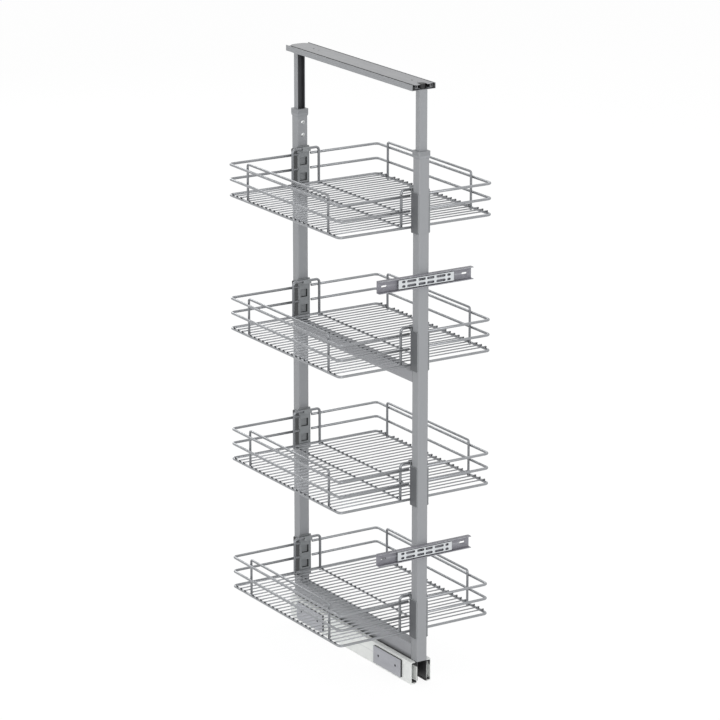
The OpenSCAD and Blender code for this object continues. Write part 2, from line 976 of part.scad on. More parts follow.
// Clip: a moulded U round three faces of an upright, with a hook for a hanger, a lip under the ring
// and two hollow lugs that sit in square holes of the upright
module clip(basket) {
    half = tube_w / 2 + seat_gap + clip_wall;
    hook_floor = hanger_z - hanger_d / 2 - hook_gap;
    hook_front = hanger_y - hanger_d / 2 - hook_gap - hook_t;
    lip_top = -ring_r - hook_gap;
    lip_front = half_l - ring_r - hook_gap - hook_t;
    cheek_top = clip_high - cheek_drop;
    cheek_r = 6;
    lug_floor = 1;
    color(clip_grey)
        translate([0, 0, ring_z(basket)])
            difference() {
                union() {
                    intersection() {
                        translate([0, 0, -clip_low])
                            linear_extrude(clip_low + clip_high)
                                difference() {
                                    rect(-half, clip_face_y, half, outer_y);
                                    rect(-half + clip_wall, inner_y, half - clip_wall, outer_y + cut);
                                }
                        along_x(-half, half)
                            union() {
                                rect(clip_face_y, -clip_low, inner_y, clip_high);
                                rect(clip_face_y, -clip_low, outer_y - cheek_r, cheek_top);
                                rect(clip_face_y, -clip_low + cheek_r, outer_y, cheek_top - cheek_r);
                                for (z = [cheek_r - clip_low, cheek_top - cheek_r])
                                    translate([outer_y - cheek_r, z])
                                        circle(cheek_r);
                            }
                    }
                    for (z = WINDOW_Z)
                        translate([0, 0, z])
                            lug(clip_face_y, clip_face_y + clip_pocket + lug_floor, lug_half);
                    along_x(-hook_w / 2, hook_w / 2)
                        union() {
                            rect(hook_front, hook_floor - hook_t, clip_face_y, hook_floor);
                            rect(hook_front, hook_floor - hook_t, hook_front + hook_t, clip_high);
                            rect(lip_front, lip_top - hook_t, clip_face_y, lip_top);
                            rect(lip_front, lip_top - hook_t, lip_front + hook_t, 0);
                        }
                }
                for (z = WINDOW_Z)
                    translate([0, 0, z])
                        lug(clip_face_y - cut, clip_face_y + clip_pocket, clip_window / 2);
            }
}

module rear_clip(basket) {
    clip(basket);
}

module front_clip(basket) {
    front_of_rear()
        clip(basket);
}

// Front bracket: a channel across the front upright, flanges forward, with a slot near each end
module bracket(z) {
    color(beam_grey)
        translate([0, -outer_y, z])
            difference() {
                along_x(-bracket_w / 2, bracket_w / 2)
                    union() {
                        rect(-bracket_sheet, -bracket_h / 2, 0, bracket_h / 2);
                        for (side = [-1, 1])
                            translate([0, side * (bracket_h - bracket_sheet) / 2])
                                rect(-bracket_d, -bracket_sheet / 2, 0, bracket_sheet / 2);
                    }
                for (x = [-1, 1])
                    translate([x * (bracket_w / 2 - bracket_slot_inset), 0, 0])
                        along_y(-bracket_sheet - cut, cut)
                            slot(bracket_slot_len, bracket_slot_w);
                for (x = [-1, 1])
                    translate([x * bracket_screw_x / 2, cut, 0])
                        rotate([90, 0, 0])
                            cylinder(h = bracket_sheet + 2 * cut, d = bracket_screw_d + 2 * seat_gap);
            }
}

module upper_bracket() {
    bracket(upper_bracket_z);
}

module lower_bracket() {
    bracket(lower_bracket_z);
}

// Screws that hold the brackets to the front upright
module bracket_screws() {
    head_d = 8.5;
    head_h = 2.6;
    past = 0.5;
    color(zinc)
        for (z = [upper_bracket_z, lower_bracket_z], x = [-1, 1])
            translate([x * bracket_screw_x / 2, -outer_y - bracket_sheet, z])
                union() {
                    rotate([-90, 0, 0])
                        cylinder(h = bracket_sheet + tube_wall + past, d = bracket_screw_d);
                    rotate([90, 0, 0])
                        cylinder(h = head_h, d = head_d);
                }
}

// Adjuster plate: a shallow tray, face forward, with two rows of slots
module adjuster(z) {
    face_y = -outer_y - bracket_sheet - adjuster_play - adjuster_d;
    slot_mid = 19;
    slot_mid_x = 22;
    slot_small = 9;
    slot_small_x = 116;
    half_h = adjuster_h / 2;
    color(zinc)
        translate([0, face_y, z])
            difference() {
                along_x(-adjuster_w / 2, adjuster_w / 2)
                    union() {
                        rect(0, -half_h, adjuster_sheet, half_h);
                        for (side = [-1, 1])
                            translate([0, side * (half_h - adjuster_sheet / 2)])
                                rect(0, -adjuster_sheet / 2, adjuster_d, adjuster_sheet / 2);
                    }
                for (row = [-1, 1], x = [-1, 1])
                    translate([0, 0, row * slot_row_z / 2])
                        along_y(-cut, adjuster_sheet + cut)
                            union() {
                                translate([x * slot_mid_x / 2, 0])
                                    slot(slot_mid, slot_w);
                                translate([x * slot_long_x / 2, 0])
                                    slot(slot_long, slot_w);
                                translate([x * slot_small_x / 2, 0])
                                    slot(slot_small, slot_w);
                            }
            }
}

module upper_adjuster() {
    adjuster(upper_bracket_z);
}

module lower_adjuster() {
    adjuster(lower_bracket_z);
}

// Basket ring: a closed loop of wire with round corners
module basket_ring(basket) {
    straight_x = half_w - corner_r;
    straight_y = half_l - corner_r;
    color(wire_chrome)
        translate([0, 0, ring_z(basket)]) {
            for (side = [-1, 1]) {
                wire_x(-straight_x, straight_x, side * half_l, 0, ring_d);
                wire_y(-straight_y, straight_y, side * half_w, 0, ring_d);
            }
            for (quarter = [0 : 3]) {
                x = (quarter == 0 || quarter == 3) ? straight_x : -straight_x;
                y = quarter < 2 ? straight_y : -straight_y;
                translate([x, y, 0])
                    rotate([0, 0, 90 * quarter])
                        bend(corner_r, ring_d);
            }
        }
}

// Floor wires across the ring, cut short where a guard's leg stands, and two supports under them
module basket_floor(basket) {
    last = floor_spaces / 2 - 1;
    reach = hanger_y - hanger_d / 2 - weld_gap;
    color(wire_chrome)
        translate([0, 0, ring_z(basket)]) {
            for (i = [-last : last]) {
                right = (i == -guard_near || i == guard_far) ? guard_face : half_w + wire_over;
                left = (i == guard_near || i == -guard_far) ? guard_face : half_w + wire_over;
                wire_x(-left, right, i * floor_pitch, floor_z, floor_d);
            }
            for (side = [-1, 1])
                wire_y(-reach, reach, side * hanger_x, ring_r - support_d / 2, support_d);
        }
}

// Half of a side rail: from clip to clip round one long side
module half_rail(z) {
    straight_x = half_w - corner_r;
    straight_y = half_l - corner_r;
    for (side = [-1, 1])
        wire_x(rail_end_x, straight_x, side * half_l, z, rail_d);
    wire_y(-straight_y, straight_y, half_w, z, rail_d);
    translate([straight_x, straight_y, z])
        bend(corner_r, rail_d);
    translate([straight_x, -straight_y, z])
        rotate([0, 0, -90])
            bend(corner_r, rail_d);
}

module basket_rails(basket) {
    color(wire_chrome)
        translate([0, 0, ring_z(basket)])
            both_sides()
                for (z = [low_rail_z, high_rail_z])
                    half_rail(z);
}

// Guard on the right: a hoop whose legs stand inside the ring and the rails and meet above them
module guard() {
    y0 = -guard_near * floor_pitch;
    y1 = guard_far * floor_pitch;
    r = guard_bend;
    for (y = [y0, y1])
        wire_z(-ring_r, guard_z - r, guard_x, y, guard_d);
    translate([guard_x, y0 + r, guard_z - r])
        rotate([90, 0, 90])
            rotate([0, 0, 90])
                bend(r, guard_d);
    translate([guard_x, y1 - r, guard_z - r])
        rotate([90, 0, 90])
            bend(r, guard_d);
    wire_y(y0 + r, y1 - r, guard_x, guard_z, guard_d);
}

// Hanger at the rear: a hoop that straddles the upright and hangs in the clip's hook
module hanger() {
    r = hanger_bend;
    for (side = [-1, 1])
        wire_z(-ring_r, hanger_z - r, side * hanger_x, hanger_y, hanger_d);
    wire_x(r - hanger_x, hanger_x - r, hanger_y, hanger_z, hanger_d);
    translate([hanger_x - r, hanger_y, hanger_z - r])
        rotate([90, 0, 0])
            bend(r, hanger_d);
    translate([r - hanger_x, hanger_y, hanger_z - r])
        rotate([90, 0, 0])
            rotate([0, 0, 90])
                bend(r, hanger_d);
}

module basket_hoops(basket) {
    color(wire_chrome)
        translate([0, 0, ring_z(basket)]) {
            for (turn = [0, 180])
                rotate([0, 0, turn])
                    guard();
            hanger();
            front_of_rear()
                hanger();
        }
}

floor_channel();
front_plates();
rear_plates();
plate_pads();
plate_screws();
left_outer_rail();
right_outer_rail();
runner_bumpers();
left_middle_rail();
right_middle_rail();
outer_ball_cages();
inner_ball_cages();
outer_balls();
inner_balls();
left_inner_rail();
right_inner_rail();
bottom_beam();
mid_beam();
front_upright();
rear_upright();
front_collar();
rear_collar();
clamp_screws();
clamp_nuts();
front_clip(1);  // front_clip_1
front_clip(2);  // front_clip_2
front_clip(3);  // front_clip_3
front_clip(4);  // front_clip_4
rear_clip(1);  // rear_clip_1
rear_clip(2);  // rear_clip_2
rear_clip(3);  // rear_clip_3
rear_clip(4);  // rear_clip_4
upper_bracket();
lower_bracket();
bracket_screws();
upper_adjuster();
lower_adjuster();
front_extension();
rear_extension();
top_lower_rail();
top_stop();
top_middle_rail();
top_glides();
ceiling_rail();
basket_ring(1);  // basket_1_ring
basket_floor(1);  // basket_1_floor
basket_rails(1);  // basket_1_rails
basket_hoops(1);  // basket_1_hoops
basket_ring(2);  // basket_2_ring
basket_floor(2);  // basket_2_floor
basket_rails(2);  // basket_2_rails
basket_hoops(2);  // basket_2_hoops
basket_ring(3);  // basket_3_ring
basket_floor(3);  // basket_3_floor
basket_rails(3);  // basket_3_rails
basket_hoops(3);  // basket_3_hoops
basket_ring(4);  // basket_4_ring
basket_floor(4);  // basket_4_floor
basket_rails(4);  // basket_4_rails
basket_hoops(4);  // basket_4_hoops
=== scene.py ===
"""Looks of a pull-out pantry frame: its runner, uprights, head, clips, baskets and front brackets."""

import logging
import math
from dataclasses import dataclass, field, replace
from enum import Enum
from typing import Callable, Iterable, Optional, Sequence, Union

import bmesh
import bpy
from mathutils import Matrix, Vector


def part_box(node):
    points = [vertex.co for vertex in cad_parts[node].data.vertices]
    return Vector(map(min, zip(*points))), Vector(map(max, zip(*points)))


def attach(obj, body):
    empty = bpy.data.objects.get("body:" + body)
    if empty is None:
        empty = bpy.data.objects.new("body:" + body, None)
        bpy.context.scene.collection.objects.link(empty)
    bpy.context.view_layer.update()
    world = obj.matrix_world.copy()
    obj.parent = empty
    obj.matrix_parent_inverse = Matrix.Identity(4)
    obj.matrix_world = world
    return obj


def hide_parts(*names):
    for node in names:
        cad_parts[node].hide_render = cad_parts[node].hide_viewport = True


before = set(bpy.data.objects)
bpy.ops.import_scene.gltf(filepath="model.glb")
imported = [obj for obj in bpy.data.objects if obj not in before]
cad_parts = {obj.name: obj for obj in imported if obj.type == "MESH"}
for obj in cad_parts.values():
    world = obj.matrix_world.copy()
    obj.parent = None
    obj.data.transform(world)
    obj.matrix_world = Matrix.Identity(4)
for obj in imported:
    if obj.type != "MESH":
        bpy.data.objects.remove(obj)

LOG = logging.getLogger("pantry_frame")
MM = 0.001
QUARTER_TURN = math.pi / 2
BASKETS = range(1, 5)

Colour = tuple[float, float, float]
Triple = tuple[float, float, float]
Span = tuple[float, float]
Source = Union[float, bpy.types.NodeSocket]


class Slot(Enum):
    """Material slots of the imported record."""

    WHITE_PAINT = "white_paint"
    PLATE_STEEL = "plate_steel"
    BLACK_PLASTIC = "black_plastic"
    ZINC = "zinc"
    BALL_STEEL = "ball_steel"
    BEAM_PAINT = "beam_paint"
    TUBE_SILVER = "tube_silver"
    COLLAR_PLASTIC = "collar_plastic"
    CLIP_PLASTIC = "clip_plastic"
    CHROME_WIRE = "chrome_wire"


class End(Enum):
    """The two ends of the frame along its pull-out direction."""

    FRONT = -1
    REAR = 1


def linear(red: int, green: int, blue: int) -> Colour:
    """Linear colour of an eight-bit screen colour."""
    return tuple(
        (c / 12.92 if c <= 0.04045 else ((c + 0.055) / 1.055) ** 2.4)
        for c in (red / 255, green / 255, blue / 255)
    )


def shade(colour: Colour, share: float = 1.0) -> tuple[float, float, float, float]:
    """A colour with its brightness multiplied, as a socket value."""
    return (*(min(1.0, c * share) for c in colour), 1.0)


class Wiring:
    """Makes and joins the nodes of one shader tree."""

    FIRST_COLOUR, SECOND_COLOUR, MIXED_COLOUR = 6, 7, 2

    def __init__(self, tree: bpy.types.NodeTree) -> None:
        """Keep the tree that the nodes go into."""
        self.tree = tree

    def node(self, kind: str, **values: object) -> bpy.types.Node:
        """Make a node.

        Args:
            kind: Blender's name of the node type.
            values: properties to set on it.

        Returns:
            The new node.
        """
        made = self.tree.nodes.new(kind)
        for name, value in values.items():
            setattr(made, name, value)
        return made

    def feed(self, socket: bpy.types.NodeSocket, source: object) -> None:
        """Join a source to a socket, or set the socket's own value.

        Args:
            socket: input that takes it.
            source: an output to join, or a plain value.
        """
        if isinstance(source, bpy.types.NodeSocket):
            self.tree.links.new(source, socket)
        else:
            socket.default_value = source

    def math(self, operation: str, first: Source, second: Source = 0.0) -> bpy.types.NodeSocket:
        """Result of a math node.

        Args:
            operation: name of the operation.
            first: first value.
            second: second value.

        Returns:
            The node's output.
        """
        made = self.node("ShaderNodeMath", operation=operation)
        self.feed(made.inputs[0], first)
        self.feed(made.inputs[1], second)
        return made.outputs[0]

    def mix(self, factor: Source, first: object, second: object) -> bpy.types.NodeSocket:
        """Colour between two colours.

        Args:
            factor: share of the second colour.
            first: colour at 0.
            second: colour at 1.

        Returns:
            The mixed colour.
        """
        made = self.node("ShaderNodeMix", data_type="RGBA")
        self.feed(made.inputs[0], factor)
        self.feed(made.inputs[self.FIRST_COLOUR], first)
        self.feed(made.inputs[self.SECOND_COLOUR], second)
        return made.outputs[self.MIXED_COLOUR]

    def layer(self, mask: Source, share: Source, under: object, over: object) -> bpy.types.NodeSocket:
        """A colour with a share of another laid over it where a mask is."""
        return self.mix(self.math("MULTIPLY", mask, share), under, over)

    def noise(
        self, vector: bpy.types.NodeSocket, scale: Source, detail: float, rough: float
    ) -> bpy.types.NodeSocket:
        """Value of a noise texture.

        Args:
            vector: place on the surface.
            scale: cells to the metre.
            detail: number of octaves.
            rough: weight of the finer octaves.

        Returns:
            A value round one half.
        """
        made = self.node("ShaderNodeTexNoise")
        self.feed(made.inputs["Vector"], vector)
        self.feed(made.inputs["Scale"], scale)
        made.inputs["Detail"].default_value = detail
        made.inputs["Roughness"].default_value = rough
        return made.outputs[0]

    def spread(
        self,
        value: Source,
        low: Source = 0.0,
        high: Source = 1.0,
        to_low: Source = 0.0,
        to_high: Source = 1.0,
    ) -> bpy.types.NodeSocket:
        """A value moved from one range to another, and held inside it.

        Args:
            value: value to move.
            low: start of its range.
            high: end of its range.
            to_low: start of the new range.
            to_high: end of the new range.

        Returns:
            The moved value.
        """
        made = self.node("ShaderNodeMapRange", clamp=True)
        for socket, source in zip(made.inputs, (value, low, high, to_low, to_high)):
            self.feed(socket, source)
        return made.outputs[0]

    def place(self) -> bpy.types.NodeSocket:
        """Place on the piece, in metres."""
        return self.node("ShaderNodeTexCoord").outputs["Object"]

    def coordinate(self, vector: bpy.types.NodeSocket, axis: str) -> bpy.types.NodeSocket:
        """One coordinate of a vector.

        Args:
            vector: the vector.
            axis: X, Y or Z.

        Returns:
            The coordinate.
        """
        parts = self.node("ShaderNodeSeparateXYZ")
        self.feed(parts.inputs[0], vector)
        return parts.outputs[axis]


class EffectGroup:
    """A shader node group that several finishes place with their own values."""

    def __init__(self, name: str, inputs: dict[str, float], outputs: Sequence[str]) -> None:
        """Make the empty group.

        Args:
            name: name of the group.
            inputs: names and first values of its inputs.
            outputs: names of its outputs, all plain values.
        """
        self.tree = bpy.data.node_groups.new(name, "ShaderNodeTree")
        for label, value in inputs.items():
            socket = self.tree.interface.new_socket(name=label, in_out="INPUT", socket_type="NodeSocketFloat")
            socket.default_value = value
        for label in outputs:
            self.tree.interface.new_socket(name=label, in_out="OUTPUT", socket_type="NodeSocketFloat")
        self.wiring = Wiring(self.tree)
        self.inlet = self.wiring.node("NodeGroupInput").outputs
        self.outlet = self.wiring.node("NodeGroupOutput").inputs

    def place(self, wiring: Wiring, **values: float) -> bpy.types.bpy_prop_collection:
        """Put the group into a material.

        Args:
            wiring: the material's wiring.
            values: its inputs, with spaces in their names written as underscores.

        Returns:
            The outputs of the placed group.
        """
        placed = wiring.node("ShaderNodeGroup", node_tree=self.tree)
        for label, value in values.items():
            placed.inputs[label.replace("_", " ").title()].default_value = value
        return placed.outputs


class Effects:
    """The shared effects: grain, drawn lines, edge wear, dust, low shade and side bands."""

    def __init__(self) -> None:
        """Build each group once."""
        self.grain = self._grain()
        self.brushed = self._brushed()
        self.edge_wear = self._edge_wear()
        self.dust = self._dust()
        self.low_shade = self._low_shade()
        self.side_band = self._side_band()

    @staticmethod
    def _grain() -> EffectGroup:
        """Fine speckle with slow clouds, for paint and moulded plastic.

        Returns:
            The group, with the speckle and the clouds as values.
        """
        group = EffectGroup("surface_grain", {"Fine Scale": 1500.0, "Cloud Scale": 9.0}, ("Fine", "Cloud"))
        wiring = group.wiring
        place = wiring.place()
        fine = wiring.noise(place, group.inlet["Fine Scale"], detail=3.0, rough=0.6)
        wiring.feed(group.outlet["Fine"], fine)
        cloud = wiring.noise(place, group.inlet["Cloud Scale"], detail=4.0, rough=0.55)
        wiring.feed(group.outlet["Cloud"], wiring.spread(cloud, low=0.3, high=0.7))
        return group

    @staticmethod
    def _brushed() -> EffectGroup:
        """Drawn lines, stretched along one direction of the piece.

        Returns:
            The group, with the lines and the dull patches as values.
        """
        inputs = {"Across X": 900.0, "Across Y": 20.0, "Across Z": 900.0}
        group = EffectGroup("drawn_lines", inputs, ("Lines", "Patches"))
        wiring = group.wiring
        place = wiring.place()
        stretch = wiring.node("ShaderNodeCombineXYZ")
        for socket, label in zip(stretch.inputs, inputs):
            wiring.feed(socket, group.inlet[label])
        product = wiring.node("ShaderNodeVectorMath", operation="MULTIPLY")
        wiring.feed(product.inputs[0], place)
        wiring.feed(product.inputs[1], stretch.outputs[0])
        lines = wiring.noise(product.outputs[0], scale=1.0, detail=2.0, rough=0.5)
        wiring.feed(group.outlet["Lines"], wiring.spread(lines, low=0.25, high=0.75))
        patches = wiring.noise(place, scale=35.0, detail=3.0, rough=0.5)
        wiring.feed(group.outlet["Patches"], wiring.spread(patches, low=0.3, high=0.7))
        return group

    @staticmethod
    def _edge_wear() -> EffectGroup:
        """Mask of outer edges where the finish is rubbed thin.

        Returns:
            The group.
        """
        group = EffectGroup("edge_wear", {"Start": 0.52, "Full": 0.60, "Patch Scale": 120.0}, ("Mask",))
        wiring = group.wiring
        edge = wiring.node("ShaderNodeNewGeometry").outputs["Pointiness"]
        sharp = wiring.spread(edge, group.inlet["Start"], group.inlet["Full"])
        patch = wiring.noise(wiring.place(), group.inlet["Patch Scale"], detail=3.0, rough=0.6)
        broken = wiring.spread(patch, low=0.35, high=0.65, to_low=0.35)
        wiring.feed(group.outlet["Mask"], wiring.math("MULTIPLY", sharp, broken))
        return group

    @staticmethod
    def _dust() -> EffectGroup:
        """Mask of faint dust on faces that look up.

        Returns:
            The group.
        """
        group = EffectGroup("settled_dust", {"Amount": 0.1, "Patch Scale": 60.0}, ("Mask",))
        wiring = group.wiring
        normal = wiring.node("ShaderNodeNewGeometry").outputs["Normal"]
        upward = wiring.spread(wiring.coordinate(normal, "Z"), low=0.4)
        patch = wiring.noise(wiring.place(), group.inlet["Patch Scale"], detail=5.0, rough=0.65)
        speck = wiring.math("MULTIPLY", upward, wiring.spread(patch, low=0.35, high=0.75))
        wiring.feed(group.outlet["Mask"], wiring.math("MULTIPLY", speck, group.inlet["Amount"]))
        return group

    @staticmethod
    def _low_shade() -> EffectGroup:
        """Mask of the low part of a piece that stands in a dark gap.

        Returns:
            The group.
        """
        group = EffectGroup("low_shade", {"Bottom": 0.0, "Top": 0.01}, ("Mask",))
        wiring = group.wiring
        height = wiring.coordinate(wiring.place(), "Z")
        mask = wiring.spread(height, group.inlet["Bottom"], group.inlet["Top"], to_low=1.0, to_high=0.0)
        wiring.feed(group.outlet["Mask"], mask)
        return group

    @staticmethod
    def _side_band() -> EffectGroup:
        """Mask of the two long edges of a piece, outward from a distance off its middle, such as a rail's
        edges where painted shade stands for a narrow groove.

        Returns:
            The group.
        """
        group = EffectGroup("side_band", {"Inner": 0.02, "Outer": 0.021}, ("Mask",))
        wiring = group.wiring
        away = wiring.math("ABSOLUTE", wiring.coordinate(wiring.place(), "X"))
        wiring.feed(group.outlet["Mask"], wiring.spread(away, group.inlet["Inner"], group.inlet["Outer"]))
        return group


RUNNER_WHITE = linear(249, 251, 248)
PALE_DUST = linear(214, 212, 206)
GREY_DUST = linear(190, 188, 182)


@dataclass(frozen=True)
class Finish:
    """What every finish has: its name, its slot of the record, its colour and its roughness."""

    name: str
    slot: Slot
    colour: Colour
    roughness: float

    def begin(self) -> tuple[bpy.types.Material, Wiring, bpy.types.Node]:
        """Start the material.

        Returns:
            The material, its wiring and its surface shader.
        """
        material = bpy.data.materials.new(self.name)
        material.use_nodes = True
        surface = material.node_tree.nodes["Principled BSDF"]
        return material, Wiring(material.node_tree), surface

    def build(self, effects: Effects) -> bpy.types.Material:
        """Make the material of this finish."""
        raise NotImplementedError

    def varied(self, wiring: Wiring, mask: bpy.types.NodeSocket, swing: float) -> bpy.types.NodeSocket:
        """The colour, darker by a share where a mask is 0 and lighter where it is 1."""
        return wiring.mix(mask, shade(self.colour, 1 - swing), shade(self.colour, 1 + swing))

    @staticmethod
    def bump(
        wiring: Wiring, surface: bpy.types.Node, height: bpy.types.NodeSocket, depth: float, strength: float
    ) -> None:
        """Raise the surface by a height.

        Args:
            wiring: the material's wiring.
            surface: its surface shader.
            height: value from 0 to 1.
            depth: depth of the relief in metres.
            strength: strength of the relief.
        """
        made = wiring.node("ShaderNodeBump")
        made.inputs["Strength"].default_value = strength
        made.inputs["Distance"].default_value = depth
        wiring.feed(made.inputs["Height"], height)
        wiring.feed(surface.inputs["Normal"], made.outputs["Normal"])


@dataclass(frozen=True)
class PaintFinish(Finish):
    """Baked paint on steel: fine flake, slow clouds, rubbed edges and a little dust.

    A gap paints shade below a height, where the piece stands in a dark gap, and a foot is white below a
    height and outside a width.
    """

    flake: float = 0.035
    cloud: float = 0.015
    worn: Colour = linear(196, 199, 202)
    rubbed: float = 0.55
    gap: Optional[Span] = None
    gap_shade_share: float = 0.92
    gap_shade_tone: float = 0.05
    foot: Optional[Span] = None
    foot_side: Span = (12.2 * MM, 12.6 * MM)
    foot_colour: Colour = RUNNER_WHITE
    sheen: float = 0.02
    dust_rough: float = 0.5
    relief: float = 0.35
    relief_depth: float = 0.06 * MM

    def build(self, effects: Effects) -> bpy.types.Material:
        """Make the paint's material.

        Args:
            effects: the shared node groups.

        Returns:
            The material.
        """
        material, wiring, surface = self.begin()
        grain = effects.grain.place(wiring, fine_scale=1800.0, cloud_scale=9.0)
        speck = self.varied(wiring, grain["Fine"], self.flake)
        cloudy = wiring.layer(grain["Cloud"], self.cloud * 2, speck, shade(self.colour, 1 + self.cloud))
        edges = effects.edge_wear.place(wiring, start=0.53, full=0.62, patch_scale=90.0)["Mask"]
        paint = wiring.layer(edges, self.rubbed, cloudy, shade(self.worn))
        # Painted shade: the paint darkens below a height, in place of the shade of the gap it stands in.
        if self.gap:
            low = effects.low_shade.place(wiring, bottom=self.gap[0], top=self.gap[1])["Mask"]
            paint = wiring.layer(low, self.gap_shade_share, paint, shade(self.colour, self.gap_shade_tone))
        if self.foot:
            low = effects.low_shade.place(wiring, bottom=self.foot[0], top=self.foot[1])["Mask"]
            outer = effects.side_band.place(wiring, inner=self.foot_side[0], outer=self.foot_side[1])["Mask"]
            paint = wiring.layer(low, outer, paint, shade(self.foot_colour))
        dusty = effects.dust.place(wiring, amount=0.05, patch_scale=70.0)["Mask"]
        wiring.feed(surface.inputs["Base Color"], wiring.mix(dusty, paint, shade(PALE_DUST)))
        rough = wiring.spread(
            grain["Cloud"], to_low=self.roughness - self.sheen, to_high=self.roughness + self.sheen
        )
        dulled = wiring.math("MULTIPLY", dusty, self.dust_rough)
        wiring.feed(surface.inputs["Roughness"], wiring.math("ADD", rough, dulled))
        self.bump(wiring, surface, grain["Fine"], self.relief_depth, self.relief)
        return material


@dataclass(frozen=True)
class MetalFinish(Finish):
    """Bare or plated metal with drawn lines along its length.

    A groove shade paints shade on the metal from a distance outward, on both sides of the frame's middle, in
    place of the shade of a narrow groove.
    """

    across: Triple = (900.0, 18.0, 900.0)
    lines: float = 0.10
    tarnish: float = 0.08
    rubbed: float = 0.25
    edge_tone: float = 1.5
    metal: float = 1.0
    groove_shade: Optional[Span] = None
    groove_shade_share: float = 0.9
    groove_shade_tone: float = 0.08
    sheen: Span = (0.04, 0.05)
    relief: float = 0.25
    relief_depth: float = 0.04 * MM

    def build(self, effects: Effects) -> bpy.types.Material:
        """Make the metal's material.

        Args:
            effects: the shared node groups.

        Returns:
            The material.
        """
        material, wiring, surface = self.begin()
        x, y, z = self.across
        drawn = effects.brushed.place(wiring, across_x=x, across_y=y, across_z=z)
        lined = self.varied(wiring, drawn["Lines"], self.lines)
        dulled = wiring.layer(drawn["Patches"], self.tarnish * 2, lined, shade(self.colour, 1 - self.tarnish))
        edges = effects.edge_wear.place(wiring, start=0.53, full=0.64, patch_scale=150.0)["Mask"]
        metal = wiring.layer(edges, self.rubbed, dulled, shade(self.colour, self.edge_tone))
        # Painted shade: a dark band along both edges, in place of the shade of the groove beside them.
        if self.groove_shade:
            groove_shade = effects.side_band.place(wiring, inner=self.groove_shade[0], outer=self.groove_shade[1])["Mask"]
            metal = wiring.layer(groove_shade, self.groove_shade_share, metal, shade(self.colour, self.groove_shade_tone))
        wiring.feed(surface.inputs["Base Color"], metal)
        rough = wiring.spread(
            drawn["Patches"], to_low=self.roughness - self.sheen[0], to_high=self.roughness + self.sheen[1]
        )
        wiring.feed(surface.inputs["Roughness"], rough)
        surface.inputs["Metallic"].default_value = self.metal
        self.bump(wiring, surface, drawn["Lines"], self.relief_depth, self.relief)
        return material


@dataclass(frozen=True)
class PlasticFinish(Finish):
    """Moulded plastic with a spark-eroded grain, pale flow marks and paler rubbed edges."""

    speck: float = 0.10
    flow: float = 0.12
    flow_tone: float = 1.35
    rubbed: float = 0.3
    edge_tone: float = 2.0
    dust: float = 0.10
    sheen: float = 0.06
    relief: float = 0.5
    relief_depth: float = 0.08 * MM

    def build(self, effects: Effects) -> bpy.types.Material:
        """Make the plastic's material.

        Args:
            effects: the shared node groups.

        Returns:
            The material.
        """
        material, wiring, surface = self.begin()
        grain = effects.grain.place(wiring, fine_scale=1400.0, cloud_scale=30.0)
        speck = self.varied(wiring, grain["Fine"], self.speck)
        flow = wiring.layer(grain["Cloud"], self.flow, speck, shade(self.colour, self.flow_tone))
        edges = effects.edge_wear.place(wiring, start=0.53, full=0.63, patch_scale=140.0)["Mask"]
        plastic = wiring.layer(edges, self.rubbed, flow, shade(self.colour, self.edge_tone))
        dusty = effects.dust.place(wiring, amount=self.dust, patch_scale=90.0)["Mask"]
        wiring.feed(surface.inputs["Base Color"], wiring.mix(dusty, plastic, shade(GREY_DUST)))
        less, more = self.roughness - self.sheen, self.roughness + self.sheen
        rough = wiring.spread(grain["Fine"], low=0.2, high=0.8, to_low=less, to_high=more)
        wiring.feed(surface.inputs["Roughness"], rough)
        self.bump(wiring, surface, grain["Fine"], self.relief_depth, self.relief)
        return material


SILVER_TUBE = PaintFinish("silver_tube", Slot.TUBE_SILVER, linear(152, 154, 157), 0.48, rubbed=0.0)
# Painted shade: a dark copy of the tube's paint for the insides of channels and the lips of the lower guide
# rail.
SILVER_PAINTED_SHADE = PaintFinish("silver_painted_shade", Slot.TUBE_SILVER, linear(70, 71, 74), 0.55)
# Its gap paints shade low on the beam's foot, where it stands in the channel.
SILVER_BEAM = PaintFinish(
    "silver_beam", Slot.BEAM_PAINT, linear(153, 154, 158), 0.48,
    gap=(53 * MM, 64 * MM), foot=(40 * MM, 42 * MM),
)
BRACKET_GREY = PaintFinish("bracket_grey", Slot.BEAM_PAINT, linear(124, 123, 131), 0.48)
WHITE_RUNNER = PaintFinish("white_runner", Slot.WHITE_PAINT, RUNNER_WHITE, 0.38, flake=0.02, cloud=0.02)
PLATE_GREY = MetalFinish(
    "plate_grey", Slot.PLATE_STEEL, linear(166, 167, 172), 0.42, across=(900.0, 25.0, 900.0)
)
# Its groove shade paints a dark band along both edges of the top rail.
TOP_RAIL = MetalFinish(
    "top_rail", Slot.PLATE_STEEL, linear(146, 147, 149), 0.42, groove_shade=(23.6 * MM, 24.0 * MM)
)
ZINC_PLATE = MetalFinish("zinc_plate", Slot.ZINC, linear(206, 209, 211), 0.50, across=(18.0, 900.0, 900.0))
ZINC_RAIL = MetalFinish("zinc_rail", Slot.ZINC, linear(196, 199, 200), 0.34)
GUIDE_RAIL = MetalFinish("guide_rail", Slot.ZINC, linear(112, 114, 117), 0.45)
ZINC_SCREW = MetalFinish("zinc_screw", Slot.ZINC, linear(206, 208, 208), 0.30, across=(300.0, 300.0, 300.0))
BALL_STEEL = MetalFinish(
    "ball_steel", Slot.BALL_STEEL, linear(190, 192, 196), 0.15, across=(80.0, 80.0, 80.0)
)
CHROME_WIRE = MetalFinish(
    "chrome_wire", Slot.CHROME_WIRE, linear(149, 151, 154), 0.32,
    across=(25.0, 25.0, 25.0), lines=0.05, relief=0.01, metal=0.72,
)
# Painted shade: a darker copy of the chrome wire for the upright hoops.
HOOP_WIRE_SHADE = replace(CHROME_WIRE, name="hoop_wire_shade", colour=linear(137, 139, 142))
